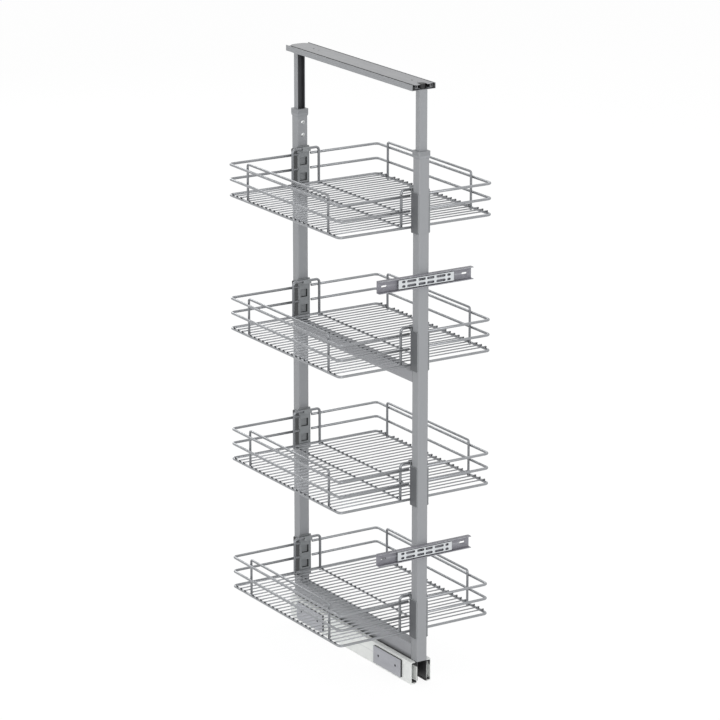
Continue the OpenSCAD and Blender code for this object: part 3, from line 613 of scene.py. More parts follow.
# Weld beads, dark as painted contact shade where the wires touch.
WELD_BEAD_SHADE = MetalFinish(
    "weld_bead_shade", Slot.CHROME_WIRE, linear(72, 73, 76), 0.45, across=(500.0, 500.0, 500.0), relief=0.3
)
BLACK_PLASTIC = PlasticFinish("black_plastic", Slot.BLACK_PLASTIC, linear(19, 19, 21), 0.55, dust=0.03)
CLIP_PLASTIC = PlasticFinish("clip_plastic", Slot.CLIP_PLASTIC, linear(139, 142, 144), 0.52)
# Darker copies of the clip's plastic: painted shade on the clips' cheeks and pocket walls.
CLIP_CHEEK_SHADE = PlasticFinish("clip_cheek_shade", Slot.CLIP_PLASTIC, linear(98, 100, 103), 0.55)
CLIP_SIDE_SHADE = PlasticFinish("clip_side_shade", Slot.CLIP_PLASTIC, linear(40, 42, 44), 0.60)
COLLAR_PLASTIC = PlasticFinish("collar_plastic", Slot.COLLAR_PLASTIC, linear(138, 140, 143), 0.48)


def mesh_of(work: bmesh.types.BMesh, name: str, crease: Optional[float] = None) -> bpy.types.Mesh:
    """Smooth mesh of finished work, with its faces outward.

    Args:
        work: the work, which is freed.
        name: name of the mesh.
        crease: angle from which an edge stays sharp, if any does.

    Returns:
        The mesh.
    """
    bmesh.ops.recalc_face_normals(work, faces=work.faces)
    mesh = bpy.data.meshes.new(name)
    work.to_mesh(mesh)
    work.free()
    mesh.shade_smooth()
    if crease is not None:
        mesh.set_sharp_from_angle(angle=crease)
    return mesh


def reach(piece: bpy.types.Object, axis: int) -> float:
    """Furthest distance of a piece from the frame's origin along one axis."""
    return max(abs(vertex.co[axis]) for vertex in piece.data.vertices)


def cluster_centres(mesh: bpy.types.Mesh, size: float) -> list[Vector]:
    """Centres of the separate small solids of a node.

    Args:
        mesh: the node's mesh.
        size: vertices closer than this belong to one solid.

    Returns:
        The centre of each solid's box.
    """
    boxes: list[tuple[Vector, Vector]] = []
    for vertex in mesh.vertices:
        for i, (low, high) in enumerate(boxes):
            if (vertex.co - (low + high) / 2).length < size:
                boxes[i] = (Vector(map(min, low, vertex.co)), Vector(map(max, high, vertex.co)))
                break
        else:
            boxes.append((vertex.co.copy(), vertex.co.copy()))
    return [(low + high) / 2 for low, high in boxes]


class Workshop:
    """Dresses the solids of the frame, and puts new pieces on its bodies."""

    SAME_POINT = 1e-6
    FLAT = math.radians(0.5)
    SHARP = math.radians(40)
    CREASE = math.radians(50)
    MOST_CORNERS = 4
    FACE_WEIGHT = 90

    def __init__(self, effects: Effects) -> None:
        """Keep the shared effects, and no material yet."""
        self.effects = effects
        self.materials: dict[str, bpy.types.Material] = {}

    def material(self, finish: Finish) -> bpy.types.Material:
        """The material of a finish, made once.

        Args:
            finish: the finish.

        Returns:
            Its material.
        """
        if finish.name not in self.materials:
            self.materials[finish.name] = finish.build(self.effects)
        return self.materials[finish.name]

    def keep(self, finish: Finish, *nodes: str) -> None:
        """Show solids as they are, in a finish.

        Args:
            finish: finish of all of them.
            nodes: names of the solids.
        """
        for name in nodes:
            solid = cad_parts[name]
            solid.data.materials.clear()
            solid.data.materials.append(self.material(finish))
            LOG.info("%s: solid in %s", name, finish.name)

    def place(
        self, name: str, mesh: bpy.types.Mesh, body: str, finish: Finish, *nodes: str
    ) -> bpy.types.Object:
        """Put a new piece on a body.

        Args:
            name: name of the piece.
            mesh: its mesh, in the frame's place.
            body: body that it rides on.
            finish: its finish.
            nodes: solids that it stands for.

        Returns:
            The new object.
        """
        piece = bpy.data.objects.new(name, mesh)
        bpy.context.scene.collection.objects.link(piece)
        mesh.materials.append(self.material(finish))
        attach(piece, body)
        if nodes:
            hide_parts(*nodes)
        LOG.info("%s: piece on %s in %s", name, body, finish.name)
        return piece

    def paint(self, piece: bpy.types.Object, finish: Finish, where: Callable[[Vector], bool]) -> None:
        """Give some faces of a piece another finish.

        Args:
            piece: the piece.
            finish: finish of those faces.
            where: tells from a face's centre whether the face takes it.
        """
        piece.data.materials.append(self.material(finish))
        for face in piece.data.polygons:
            if where(face.center):
                face.material_index = len(piece.data.materials) - 1

    def soften(
        self, node: str, body: str, finish: Finish, width: float, least: float = 2.5 * MM
    ) -> bpy.types.Object:
        """Show a solid with its long sharp edges rounded.

        Args:
            node: name of the solid.
            body: body that it belongs to.
            finish: its finish.
            width: width of the rounding.
            least: shortest edge that is rounded.

        Returns:
            The rounded piece, which stands for the solid.
        """
        work = bmesh.new()
        work.from_mesh(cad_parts[node].data)
        bmesh.ops.remove_doubles(work, verts=work.verts, dist=self.SAME_POINT)
        bmesh.ops.dissolve_limit(
            work, angle_limit=self.FLAT, verts=work.verts, edges=work.edges, use_dissolve_boundaries=False
        )
        wide = [face for face in work.faces if len(face.verts) > self.MOST_CORNERS]
        bmesh.ops.triangulate(work, faces=wide)
        sharp = [
            edge
            for edge in work.edges
            if len(edge.link_faces) == 2
            and edge.calc_length() > least
            and edge.calc_face_angle(0.0) > self.SHARP
        ]
        bmesh.ops.bevel(
            work, geom=sharp, offset=width, offset_type="OFFSET", segments=2, profile=0.5, affect="EDGES",
            clamp_overlap=False, loop_slide=True,
        )
        mesh = bpy.data.meshes.new(f"{node}_rounded")
        work.to_mesh(mesh)
        work.free()
        mesh.shade_smooth()
        mesh.set_sharp_from_angle(angle=self.CREASE)
        piece = self.place(f"{node}_rounded", mesh, body, finish, node)
        weighted = piece.modifiers.new("face_normals", "WEIGHTED_NORMAL")
        weighted.keep_sharp = True
        weighted.weight = self.FACE_WEIGHT
        return piece


class WireWork:
    """Collects wires, domed ends and weld beads in one mesh."""

    SIDES = 12
    DOME_WIDTH = 0.7
    DOME_SHOULDER = 0.22
    DOME_RISE = 0.3

    def __init__(self) -> None:
        """Start with no wire."""
        self.mesh = bmesh.new()

    def wire(self, points: Sequence[Vector], radius: float, closed: bool = False) -> None:
        """Draw a round wire along points.

        Args:
            points: centre line.
            radius: radius of the wire.
            closed: whether the last point joins the first.
        """
        count = len(points)
        side = None
        rings = []
        for i, point in enumerate(points):
            before = points[i - 1] if closed or i else point
            after = points[(i + 1) % count] if closed or i < count - 1 else point
            along = (after - before).normalized()
            if side is None:
                side = along.orthogonal().normalized()
            side = (side - along * side.dot(along)).normalized()
            rings.append(self._ring(point, side, along.cross(side), radius))
        for i in range(count if closed else count - 1):
            self._join(rings[i], rings[(i + 1) % count])
        if not closed:
            self._dome(rings[0], points[0], (points[0] - points[1]).normalized(), radius)
            self._dome(rings[-1], points[-1], (points[-1] - points[-2]).normalized(), radius)

    def _ring(
        self, point: Vector, side: Vector, across: Vector, radius: float
    ) -> list[bmesh.types.BMVert]:
        """Vertices round a point of the centre line.

        Args:
            point: the point.
            side: first direction square to the wire.
            across: second one, square to the first.
            radius: radius of the wire.

        Returns:
            The vertices in order.
        """
        turns = (2 * math.pi * k / self.SIDES for k in range(self.SIDES))
        outward = (math.cos(turn) * side + math.sin(turn) * across for turn in turns)
        return [self.mesh.verts.new(point + radius * way) for way in outward]

    def _join(self, first: list[bmesh.types.BMVert], second: list[bmesh.types.BMVert]) -> None:
        """Make the faces between two neighbouring rings, matched at their nearest vertices.

        Args:
            first: one ring.
            second: the next ring.
        """
        shift = min(range(self.SIDES), key=lambda k: (second[k].co - first[0].co).length)
        for k in range(self.SIDES):
            a, b = k, (k + 1) % self.SIDES
            c, d = (b + shift) % self.SIDES, (a + shift) % self.SIDES
            self.mesh.faces.new((first[a], first[b], second[c], second[d]))

    def _dome(self, ring: list[bmesh.types.BMVert], point: Vector, out: Vector, radius: float) -> None:
        """Close an end with a low dome, where the cut wire is rounded off.

        Args:
            ring: last ring of the wire.
            point: its centre.
            out: direction out of the wire's end.
            radius: radius of the wire.
        """
        shoulder = point + out * radius * self.DOME_SHOULDER
        low = [self.mesh.verts.new(shoulder + (v.co - point) * self.DOME_WIDTH) for v in ring]
        top = self.mesh.verts.new(point + out * radius * self.DOME_RISE)
        for k in range(self.SIDES):
            after = (k + 1) % self.SIDES
            self.mesh.faces.new((ring[k], ring[after], low[after], low[k]))
            self.mesh.faces.new((low[k], low[after], top))

    def bead(self, centre: Vector, size: Triple) -> None:
        """Lay a weld bead.

        Args:
            centre: middle of the bead.
            size: its half sizes.
        """
        place = Matrix.Translation(centre) @ Matrix.Diagonal((*size, 1.0))
        bmesh.ops.create_icosphere(self.mesh, subdivisions=2, radius=1.0, matrix=place)

    def finish(self, name: str) -> bpy.types.Mesh:
        """The collected mesh."""
        return mesh_of(self.mesh, name)


def arc(centre: Vector, start: Vector, stop: Vector, steps: int = 8) -> list[Vector]:
    """Quarter of a circle as points.

    Args:
        centre: centre of the circle.
        start: from the centre to the first point.
        stop: from the centre to the last point, square to start.
        steps: number of spaces between the points.

    Returns:
        The points.
    """
    turns = (QUARTER_TURN * k / steps for k in range(steps + 1))
    return [centre + math.cos(turn) * start + math.sin(turn) * stop for turn in turns]


@dataclass
class WireBasket:
    """A welded wire basket: ring, floor wires, side rails, guards and hangers."""

    number: int
    ring_d: float = 6 * MM
    rail_d: float = 6 * MM
    floor_d: float = 3 * MM
    guard_d: float = 5.5 * MM
    hanger_d: float = 6 * MM
    support_d: float = 4 * MM
    corner_r: float = 9 * MM
    guard_r: float = 5 * MM
    hanger_r: float = 8 * MM
    rail_rise: Span = (36 * MM, 70 * MM)
    guard_rise: float = 83 * MM
    hanger_rise: float = 83 * MM
    hanger_x: float = 34.5 * MM
    weld_gap: float = 0.1 * MM
    over: float = 1.5 * MM
    spaces: int = 26
    guard_steps: tuple[int, int] = (-9, 10)
    bead_sink: float = 0.4 * MM
    floor_bead: Triple = (1.9 * MM, 2.0 * MM, 2.0 * MM)
    support_bead: Triple = (2.5 * MM, 2.0 * MM, 1.5 * MM)
    guard_bead: Triple = (0.8 * MM, 1.6 * MM, 1.7 * MM)
    hanger_bead: Triple = (1.6 * MM, 0.8 * MM, 1.7 * MM)
    half_w: float = field(init=False)
    half_l: float = field(init=False)
    base: Vector = field(init=False)
    rail_end: float = field(init=False)

    def __post_init__(self) -> None:
        """Take the basket's place and reach from its solids."""
        low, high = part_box(f"basket_{self.number}_ring")
        self.half_w = (high.x - low.x - self.ring_d) / 2
        self.half_l = (high.y - low.y - self.ring_d) / 2
        self.base = Vector((0, 0, (low.z + high.z) / 2))
        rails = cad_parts[f"basket_{self.number}_rails"].data.vertices
        self.rail_end = min(abs(v.co.x) for v in rails)

    @property
    def body(self) -> str:
        """Body that the basket's pieces ride on."""
        return f"basket_{self.number}"

    @property
    def pitch(self) -> float:
        """Distance from one floor wire to the next."""
        return 2 * self.half_l / self.spaces

    @property
    def floor_z(self) -> float:
        """Height of the floor wires above the ring."""
        return self.ring_d / 2 + self.weld_gap + self.floor_d / 2

    @property
    def guard_x(self) -> float:
        """Distance of the guards from the centre plane."""
        return self.half_w - self.rail_d / 2 - self.weld_gap - self.guard_d / 2

    @property
    def hanger_y(self) -> float:
        """Distance of the hangers from the basket's middle."""
        return self.half_l - self.ring_d / 2 - self.weld_gap - self.hanger_d / 2

    def at(self, x: float, y: float, z: float) -> Vector:
        """A place of the basket, from the middle of its ring."""
        return self.base + Vector((x, y, z))

    def floor_rows(self) -> Iterable[tuple[float, float, float]]:
        """Floor wires from front to rear: a guard's leg cuts its wire short.

        Returns:
            Place of each wire along the basket, and its left and right ends.
        """
        last = self.spaces // 2 - 1
        full = self.half_w + self.over
        short = self.guard_x - self.guard_d / 2 - self.weld_gap
        for i in range(-last, last + 1):
            left = short if -i in self.guard_steps else full
            right = short if i in self.guard_steps else full
            yield i * self.pitch, -left, right

    def guard_legs(self, side: int) -> list[float]:
        """Places of a guard's two legs along the basket: the guards are half a turn apart."""
        return [side * step * self.pitch for step in self.guard_steps]

    def ring(self) -> bpy.types.Mesh:
        """The closed ring that carries the basket.

        Returns:
            The mesh.
        """
        work = WireWork()
        x, y, r = self.half_w - self.corner_r, self.half_l - self.corner_r, self.corner_r
        ways = [Vector(way) for way in ((r, 0, 0), (0, r, 0), (-r, 0, 0), (0, -r, 0))]
        corners = ((x, y), (-x, y), (-x, -y), (x, -y))
        points: list[Vector] = []
        for (corner_x, corner_y), start, stop in zip(corners, ways, (*ways[1:], ways[0])):
            points += arc(self.at(corner_x, corner_y, 0), start, stop)
        work.wire(points, self.ring_d / 2, closed=True)
        return work.finish(f"{self.body}_ring")

    def floor(self) -> bpy.types.Mesh:
        """The floor wires and the two supports under them.

        Returns:
            The mesh.
        """
        work = WireWork()
        for y, left, right in self.floor_rows():
            work.wire([self.at(x, y, self.floor_z) for x in (left, 0, right)], self.floor_d / 2)
        under = self.ring_d / 2 - self.support_d / 2
        far = self.hanger_y - self.hanger_d / 2 - self.weld_gap
        for x in (-self.hanger_x, self.hanger_x):
            work.wire([self.at(x, y, under) for y in (-far, 0, far)], self.support_d / 2)
        return work.finish(f"{self.body}_floor")

    def rails(self) -> bpy.types.Mesh:
        """The side rails, in two halves that end at the clips.

        Returns:
            The mesh.
        """
        work = WireWork()
        x, y, r = self.half_w - self.corner_r, self.half_l - self.corner_r, self.corner_r
        for rise in self.rail_rise:
            for side in (-1, 1):
                out = Vector((side * r, 0, 0))
                rear = arc(self.at(side * x, y, rise), Vector((0, r, 0)), out)
                front = arc(self.at(side * x, -y, rise), out, Vector((0, -r, 0)))
                first, last = (self.at(side * self.rail_end, end * self.half_l, rise) for end in (1, -1))
                work.wire([first, *rear, *front, last], self.rail_d / 2)
        return work.finish(f"{self.body}_rails")

    def hoops(self) -> bpy.types.Mesh:
        """The two guards, which stand inside the ring and the rails, and the two hangers of the clips' hooks.

        Returns:
            The mesh.
        """
        work = WireWork()
        foot = -self.ring_d / 2
        for side in (1, -1):
            legs = [self.at(side * self.guard_x, y, foot) for y in self.guard_legs(side)]
            self._hoop(work, legs, self.guard_rise, self.guard_r, self.guard_d)
        for end in End:
            legs = [self.at(x, end.value * self.hanger_y, foot) for x in (-self.hanger_x, self.hanger_x)]
            self._hoop(work, legs, self.hanger_rise, self.hanger_r, self.hanger_d)
        return work.finish(f"{self.body}_hoops")

    def _hoop(self, work: WireWork, legs: Sequence[Vector], rise: float, bend: float, wire_d: float) -> None:
        """Add a hoop: two legs, two bends and the wire between them.

        Args:
            work: mesh that takes the hoop.
            legs: lower ends of its legs.
            rise: height of its top above the ring.
            bend: radius of its bends.
            wire_d: diameter of its wire.
        """
        first, last = legs
        along = (last - first).normalized() * bend
        up = Vector((0, 0, bend))
        lift = Vector((0, 0, self.ring_d / 2 + rise - bend))
        bends = [*arc(first + lift + along, -along, up), *arc(last + lift - along, up, along)]
        work.wire([first, *bends, last], wire_d / 2)

    def welds(self) -> bpy.types.Mesh:
        """Weld beads where the wires cross.

        Returns:
            The mesh.
        """
        work = WireWork()
        for y, left, right in self.floor_rows():
            for x in (left, right):
                work.bead(self.at(x, y, self.floor_z - self.bead_sink), self.floor_bead)
            for x in (-self.hanger_x, self.hanger_x):
                work.bead(self.at(x, y, self.ring_d / 2), self.support_bead)
        heights = (0.0, *self.rail_rise)
        for side in (1, -1):
            touch_x = side * (self.guard_x + self.guard_d / 2)
            for y in self.guard_legs(side):
                for rise in heights:
                    work.bead(self.at(touch_x, y, rise), self.guard_bead)
        for end in End:
            touch_y = end.value * (self.hanger_y + self.hanger_d / 2)
            for x in (-self.hanger_x, self.hanger_x):
                for rise in heights:
                    work.bead(self.at(x, touch_y, rise), self.hanger_bead)
        return work.finish(f"{self.body}_welds")

    def build(self, shop: Workshop) -> None:
        """Put the basket's wires and welds on its body.

        Args:
            shop: workshop that places them.
        """
        for piece, mesh, finish, node in (
            ("ring_wire", self.ring(), CHROME_WIRE, "ring"),
            ("floor_wires", self.floor(), CHROME_WIRE, "floor"),
            ("rail_wires", self.rails(), CHROME_WIRE, "rails"),
            ("hoop_wires", self.hoops(), HOOP_WIRE_SHADE, "hoops"),
        ):
            shop.place(f"{self.body}_{piece}", mesh, self.body, finish, f"{self.body}_{node}")
        # The beads' dark colour is painted contact shade where the wires touch.
        shop.place(f"{self.body}_weld_beads", self.welds(), self.body, WELD_BEAD_SHADE)


@dataclass
class ScrewHead:
    """A screw with a domed head and a cross recess, made round its own axis."""

    head_r: float
    head_h: float
    shank_r: float
    shank: float
    recess_r: float
    recess_w: float
    recess_d: float
    rim: float = 0.45
    crown: float = 2.2
    rings: int = 14
    sides: int = 48

    def add(self, work: bmesh.types.BMesh, place: Matrix) -> None:
        """Add the screw to a mesh.

        Args:
            work: mesh that takes it.
            place: where its head's underside sits, with Z out of the head.
        """
        start = len(work.verts)
        rows = [[work.verts.new((0, 0, self._height(0.0, 0.0)))]]
        rows += [self._row(work, self.head_r * i / self.rings) for i in range(1, self.rings + 1)]
        rows.append([work.verts.new((v.co.x, v.co.y, 0.0)) for v in rows[-1]])
        rows.append([work.verts.new((*(v.co.xy * (self.shank_r / self.head_r)), 0.0)) for v in rows[-1]])
        rows.append([work.verts.new((v.co.x, v.co.y, -self.shank)) for v in rows[-1]])
        for k in range(self.sides):
            work.faces.new((rows[0][0], rows[1][k], rows[1][(k + 1) % self.sides]))
        for first, second in zip(rows[1:], rows[2:]):
            for k in range(self.sides):
                after = (k + 1) % self.sides
                work.faces.new((first[k], second[k], second[after], first[after]))
        work.faces.new(list(reversed(rows[-1])))
        work.verts.ensure_lookup_table()
        bmesh.ops.transform(work, matrix=place, verts=work.verts[start:])

    def _row(self, work: bmesh.types.BMesh, radius: float) -> list[bmesh.types.BMVert]:
        """One circle of the head's top, sunk where the recess is.

        Args:
            work: mesh that takes the vertices.
            radius: radius of the circle.

        Returns:
            The vertices in order.
        """
        row = []
        for k in range(self.sides):
            turn = 2 * math.pi * k / self.sides
            x, y = radius * math.cos(turn), radius * math.sin(turn)
            row.append(work.verts.new((x, y, self._height(x, y))))
        return row

    def _height(self, x: float, y: float) -> float:
        """Height of the head's top.

        Args:
            x: place across the head.
            y: place across the head, square to x.

        Returns:
            The height above the head's underside.
        """
        away = math.hypot(x, y)
        bulge = math.sqrt(max(0.0, 1 - (away / self.head_r) ** self.crown))
        dome = self.head_h * (self.rim + (1 - self.rim) * bulge)
        in_recess = min(abs(x), abs(y)) < self.recess_w and away < self.recess_r
        return dome - (self.recess_d if in_recess else 0.0)


PLATE_SCREW = ScrewHead(
    head_r=3.0 * MM, head_h=0.9 * MM, shank_r=1.7 * MM, shank=4.6 * MM,
    recess_r=2.0 * MM, recess_w=0.5 * MM, recess_d=0.7 * MM,
)
CLAMP_SCREW = ScrewHead(
    head_r=4.75 * MM, head_h=3.0 * MM, shank_r=2.5 * MM, shank=10.0 * MM,
    recess_r=2.7 * MM, recess_w=0.65 * MM, recess_d=1.6 * MM,
)
BRACKET_SCREW = ScrewHead(
    head_r=4.25 * MM, head_h=2.6 * MM, shank_r=2.5 * MM, shank=4.5 * MM,
    recess_r=2.4 * MM, recess_w=0.6 * MM, recess_d=1.4 * MM,
)
SCREW_CREASE = math.radians(35)


@dataclass
class FloorRunner:
    """The floor channel with its side plates, and the ball rails inside it."""

    edge: float = 0.4 * MM
    screw_size: float = 12 * MM

    def build(self, shop: Workshop) -> None:
        """Dress the runner's pieces.

        Args:
            shop: workshop that dresses them.
        """
        for node, finish in (
            ("floor_channel", WHITE_RUNNER),
            ("front_plates", PLATE_GREY),
            ("rear_plates", PLATE_GREY),
            ("plate_pads", BLACK_PLASTIC),
        ):
            shop.soften(node, "floor_runner", finish, self.edge)
        shop.keep(WHITE_RUNNER, "left_outer_rail", "right_outer_rail")
        shop.keep(WHITE_RUNNER, "left_middle_rail", "right_middle_rail")
        shop.keep(ZINC_RAIL, "left_inner_rail", "right_inner_rail", "outer_ball_cages", "inner_ball_cages")
        shop.keep(BALL_STEEL, "outer_balls", "inner_balls")
        shop.keep(BLACK_PLASTIC, "runner_bumpers")
        self.plate_screws(shop)

    def plate_screws(self, shop: Workshop) -> None:
        """Replace the plates' screws by ones with a cross recess.

        Args:
            shop: workshop that places them.
        """
        work = bmesh.new()
        seat_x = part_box("plate_screws")[1].x - PLATE_SCREW.head_h
        for centre in cluster_centres(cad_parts["plate_screws"].data, self.screw_size):
            side = math.copysign(1.0, centre.x)
            seat = Matrix.Translation((side * seat_x, centre.y, centre.z))
            PLATE_SCREW.add(work, seat @ Matrix.Rotation(side * QUARTER_TURN, 4, "Y"))
        heads = mesh_of(work, "plate_screw_heads", SCREW_CREASE)
        shop.place("plate_screw_heads", heads, "floor_runner", BLACK_PLASTIC, "plate_screws")


@dataclass
class UprightFrame:
    """The uprights, the beams that tie them, the clips and the front brackets."""

    beam_edge: float = 0.3 * MM
    collar_edge: float = 0.5 * MM
    clip_edge: float = 0.8 * MM
    cheek_skin: float = 0.1 * MM
    pocket_half: float = 9.6 * MM
    pocket_depth: Span = (234.9 * MM, 240.2 * MM)
    bracket_edge: float = 0.5 * MM
    adjuster_edge: float = 0.35 * MM

    def build(self, shop: Workshop) -> None:
        """Dress the frame's pieces.

        Args:
            shop: workshop that dresses them.
        """
        shop.keep(SILVER_TUBE, "front_upright", "rear_upright")
        for node in ("bottom_beam", "mid_beam"):
            shop.soften(node, "frame", SILVER_BEAM, self.beam_edge)
        for node in ("front_collar", "rear_collar"):
            shop.soften(node, "frame", COLLAR_PLASTIC, self.collar_edge)
        for number in BASKETS:
            # Painted shade on the cheeks: a little darker on the front clips, nearly black on the rear ones.
            for end, cheek in (("front", CLIP_CHEEK_SHADE), ("rear", CLIP_SIDE_SHADE)):
                self.clip(shop, f"{end}_clip_{number}", cheek)
        for node in ("upper_bracket", "lower_bracket"):
            shop.soften(node, "frame", BRACKET_GREY, self.bracket_edge)
        for level in ("upper", "lower"):
            shop.soften(f"{level}_adjuster", f"{level}_front", ZINC_PLATE, self.adjuster_edge)
        shop.keep(PLATE_GREY, "clamp_nuts")
        self.clamp_screws(shop)
        self.bracket_screws(shop)

    def clip(self, shop: Workshop, node: str, cheek: Finish) -> None:
        """Dress a basket clip, with painted shade on its cheeks and on the walls of its pockets.

        Args:
            shop: workshop that dresses it.
            node: name of the clip.
            cheek: finish of its cheeks, a darker copy of the plastic that paints shade there.
        """
        piece = shop.soften(node, "frame", CLIP_PLASTIC, self.clip_edge)
        side = reach(piece, 0) - self.cheek_skin
        shop.paint(piece, cheek, lambda centre: abs(centre.x) > side)
        # Painted shade on the walls of the square pockets.
        shop.paint(piece, CLIP_SIDE_SHADE, self.in_pocket)

    def in_pocket(self, centre: Vector) -> bool:
        """Whether a face of a clip is a wall of its square pockets."""
        low, high = self.pocket_depth
        return abs(centre.x) < self.pocket_half and low < abs(centre.y) < high

    @staticmethod
    def clamp_screws(shop: Workshop) -> None:
        """Replace the clamp screws by ones with a cross recess.

        Args:
            shop: workshop that places them.
        """
        work = bmesh.new()
        low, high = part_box("clamp_screws")
        seat_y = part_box("rear_upright")[0].y
        screw = replace(CLAMP_SCREW, shank=high.y - seat_y)
        for z in (low.z + screw.head_r, high.z - screw.head_r):
            for end in End:
                seat = Matrix.Translation((0, end.value * seat_y, z))
                screw.add(work, seat @ Matrix.Rotation(end.value * QUARTER_TURN, 4, "X"))
        heads = mesh_of(work, "clamp_screw_heads", SCREW_CREASE)
        shop.place("clamp_screw_heads", heads, "frame", ZINC_SCREW, "clamp_screws")

    @staticmethod
    def bracket_screws(shop: Workshop) -> None:
        """Replace the brackets' screws by ones with a cross recess.

        Args:
            shop: workshop that places them.
        """
        work = bmesh.new()
        low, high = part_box("bracket_screws")
        seat_y, far = low.y + BRACKET_SCREW.head_h, high.x - BRACKET_SCREW.head_r
        for node in ("upper_bracket", "lower_bracket"):
            middle = sum(corner.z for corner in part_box(node)) / 2
            for x in (-far, far):
                seat = Matrix.Translation((x, seat_y, middle))
                BRACKET_SCREW.add(work, seat @ Matrix.Rotation(QUARTER_TURN, 4, "X"))
        heads = mesh_of(work, "bracket_screw_heads", SCREW_CREASE)
        shop.place("bracket_screw_heads", heads, "frame", GUIDE_RAIL, "bracket_screws")


@dataclass
class HeadGuide:
    """The telescoping head and the three rails of the top guide."""

    edge: float = 0.35 * MM
    inside: float = 1.2 * MM
    lip_skin: float = 0.0875 * MM
    stop_edge: float = 0.6 * MM
    stop_least: float = 0.3 * MM

    def build(self, shop: Workshop) -> None:
        """Dress the head's pieces.

        Args:
            shop: workshop that dresses them.
        """
        for node in ("front_extension", "rear_extension"):
            self.line(shop, shop.soften(node, "head", SILVER_TUBE, self.edge))
        self.shade_rail_inside(shop, shop.soften("top_lower_rail", "head", SILVER_TUBE, self.edge))
        shop.soften("top_stop", "head", BLACK_PLASTIC, self.stop_edge, self.stop_least)
        shop.soften("top_middle_rail", "top_middle", GUIDE_RAIL, self.edge)
        shop.keep(BLACK_PLASTIC, "top_glides")
        shop.soften("ceiling_rail", "ceiling", TOP_RAIL, self.edge)

    def line(self, shop: Workshop, piece: bpy.types.Object) -> None:
        """Paint shade on the inside of an extension's channel, as a dark copy of its paint.

        Args:
            shop: workshop that holds the materials.
            piece: the extension.
        """
        side, back = (reach(piece, axis) - self.inside for axis in (0, 1))
        shop.paint(piece, SILVER_PAINTED_SHADE, lambda centre: abs(centre.x) < side and abs(centre.y) < back)

    def shade_rail_inside(self, shop: Workshop, piece: bpy.types.Object) -> None:
        """Paint the same shade on the inside and the turned-in lips of the lower rail, beside its dark
        groove.

        Args:
            shop: workshop that holds the materials.
            piece: the lower rail.
        """
        side = reach(piece, 0) - self.inside
        low, high = (corner.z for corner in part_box("top_lower_rail"))
        floor, mouth, lip = low + self.edge, high - self.edge, high - self.lip_skin
        shop.paint(piece, SILVER_PAINTED_SHADE, lambda centre: abs(centre.x) < side and floor < centre.z < mouth)
        # Painted shade on the lips' tops, in place of the shade of the groove beside them.
        shop.paint(piece, SILVER_PAINTED_SHADE, lambda centre: centre.z > lip)


@dataclass(frozen=True)
class Lamp:
    """A soft square lamp that looks at the object."""

    name: str
    place: Triple
    size: float
    power: float

    def hang(self, target: Vector) -> None:
        """Hang the lamp.

        Args:
            target: where it looks.
        """
        data = bpy.data.lights.new(self.name, "AREA")
        data.shape = "SQUARE"
        data.size = self.size
        data.energy = self.power
        lamp = bpy.data.objects.new(self.name, data)
        bpy.context.scene.collection.objects.link(lamp)
        lamp.location = self.place
        lamp.rotation_euler = (target - Vector(self.place)).to_track_quat("-Z", "Y").to_euler()


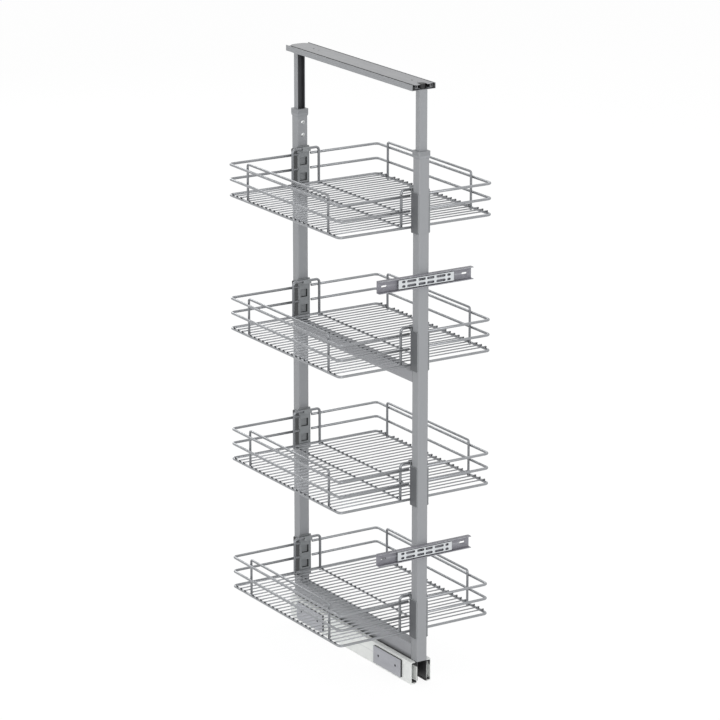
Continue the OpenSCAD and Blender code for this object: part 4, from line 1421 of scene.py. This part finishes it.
@dataclass
class Studio:
    """A plain pale floor, soft light and the camera at the photograph's angle."""

    camera_place: Triple = (-4.0396, -6.4140, 2.9110)
    turn: float = 32.221
    pitch: float = 16.377
    lens: float = 177.18
    sensor: float = 36.0
    sight: float = 100.0
    ambient: float = 0.60
    glow_share: float = 0.85
    glow: float = 1.06
    floor_reach: float = 40.0
    floor_drop: float = 0.5 * MM
    floor_tone: float = 0.9
    floor_rough: float = 0.9
    target: Triple = (0.0, 0.0, 0.7)
    lamps: tuple[Lamp, ...] = (
        Lamp("key_light", (-1.9, -8.0, 2.6), 5.0, 250.0),
        Lamp("side_light", (-4.5, 0.8, 0.9), 2.6, 40.0),
        Lamp("top_light", (0.0, 0.6, 5.0), 3.5, 16.0),
        Lamp("right_light", (3.0, 0.3, 4.6), 2.2, 22.0),
        Lamp("back_light", (0.6, 5.0, 3.0), 2.2, 60.0),
    )

    def build(self) -> None:
        """Make the floor, the light and the camera."""
        self.world()
        self.floor()
        for lamp in self.lamps:
            lamp.hang(Vector(self.target))
        self.camera()

    @staticmethod
    def shown(wiring: Wiring) -> bpy.types.NodeSocket:
        """One where the camera, a reflection or a see-through ray meets the surface.

        Args:
            wiring: wiring of the floor or the world.

        Returns:
            The value.
        """
        path = wiring.node("ShaderNodeLightPath").outputs
        either = wiring.math("MAXIMUM", path["Is Camera Ray"], path["Is Glossy Ray"])
        return wiring.math("MAXIMUM", either, path["Is Transmission Ray"])

    def world(self) -> None:
        """White surroundings that light the object at a plain level."""
        world = bpy.data.worlds.new("studio_world")
        bpy.context.scene.world = world
        world.use_nodes = True
        wiring = Wiring(world.node_tree)
        background = world.node_tree.nodes["Background"]
        background.inputs["Color"].default_value = (1, 1, 1, 1)
        strength = wiring.spread(self.shown(wiring), to_low=self.ambient)
        wiring.feed(background.inputs["Strength"], strength)

    def floor(self) -> None:
        """A wide pale floor that keeps a soft shadow."""
        mesh = bpy.data.meshes.new("studio_floor")
        corners = [
            (x * self.floor_reach, y * self.floor_reach, -self.floor_drop)
            for x, y in ((-1, -1), (1, -1), (1, 1), (-1, 1))
        ]
        mesh.from_pydata(corners, [], [(0, 1, 2, 3)])
        mesh.materials.append(self.floor_material())
        floor = bpy.data.objects.new("studio_floor", mesh)
        bpy.context.scene.collection.objects.link(floor)

    def floor_material(self) -> bpy.types.Material:
        """The floor's finish: pale, and nearly white to the camera.

        Returns:
            The material.
        """
        material = bpy.data.materials.new("studio_floor")
        material.use_nodes = True
        wiring = Wiring(material.node_tree)
        surface = material.node_tree.nodes["Principled BSDF"]
        surface.inputs["Base Color"].default_value = (self.floor_tone, self.floor_tone, self.floor_tone, 1)
        surface.inputs["Roughness"].default_value = self.floor_rough
        surface.inputs["Specular IOR Level"].default_value = 0.0
        glow = wiring.node("ShaderNodeEmission")
        glow.inputs["Strength"].default_value = self.glow
        blend = wiring.node("ShaderNodeMixShader")
        wiring.feed(blend.inputs[0], wiring.math("MULTIPLY", self.shown(wiring), self.glow_share))
        wiring.feed(blend.inputs[1], surface.outputs[0])
        wiring.feed(blend.inputs[2], glow.outputs[0])
        wiring.feed(material.node_tree.nodes["Material Output"].inputs["Surface"], blend.outputs[0])
        return material

    def camera(self) -> None:
        """Set the camera where the photograph was taken from."""
        data = bpy.data.cameras.new("studio_camera")
        data.lens = self.lens
        data.sensor_width = self.sensor
        data.clip_end = self.sight
        camera = bpy.data.objects.new("studio_camera", data)
        bpy.context.scene.collection.objects.link(camera)
        camera.location = self.camera_place
        camera.rotation_euler = (math.radians(90 - self.pitch), 0.0, math.radians(-self.turn))
        bpy.context.scene.camera = camera


def main() -> None:
    """Build the sub-assemblies in order."""
    logging.basicConfig(level=logging.INFO, format="%(name)s: %(message)s")
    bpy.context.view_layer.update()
    bpy.context.scene.view_settings.view_transform = "Standard"
    shop = Workshop(Effects())
    FloorRunner().build(shop)
    UprightFrame().build(shop)
    HeadGuide().build(shop)
    for number in BASKETS:
        WireBasket(number).build(shop)
    Studio().build()
    bpy.context.view_layer.update()


if __name__ == "__main__":
    main()
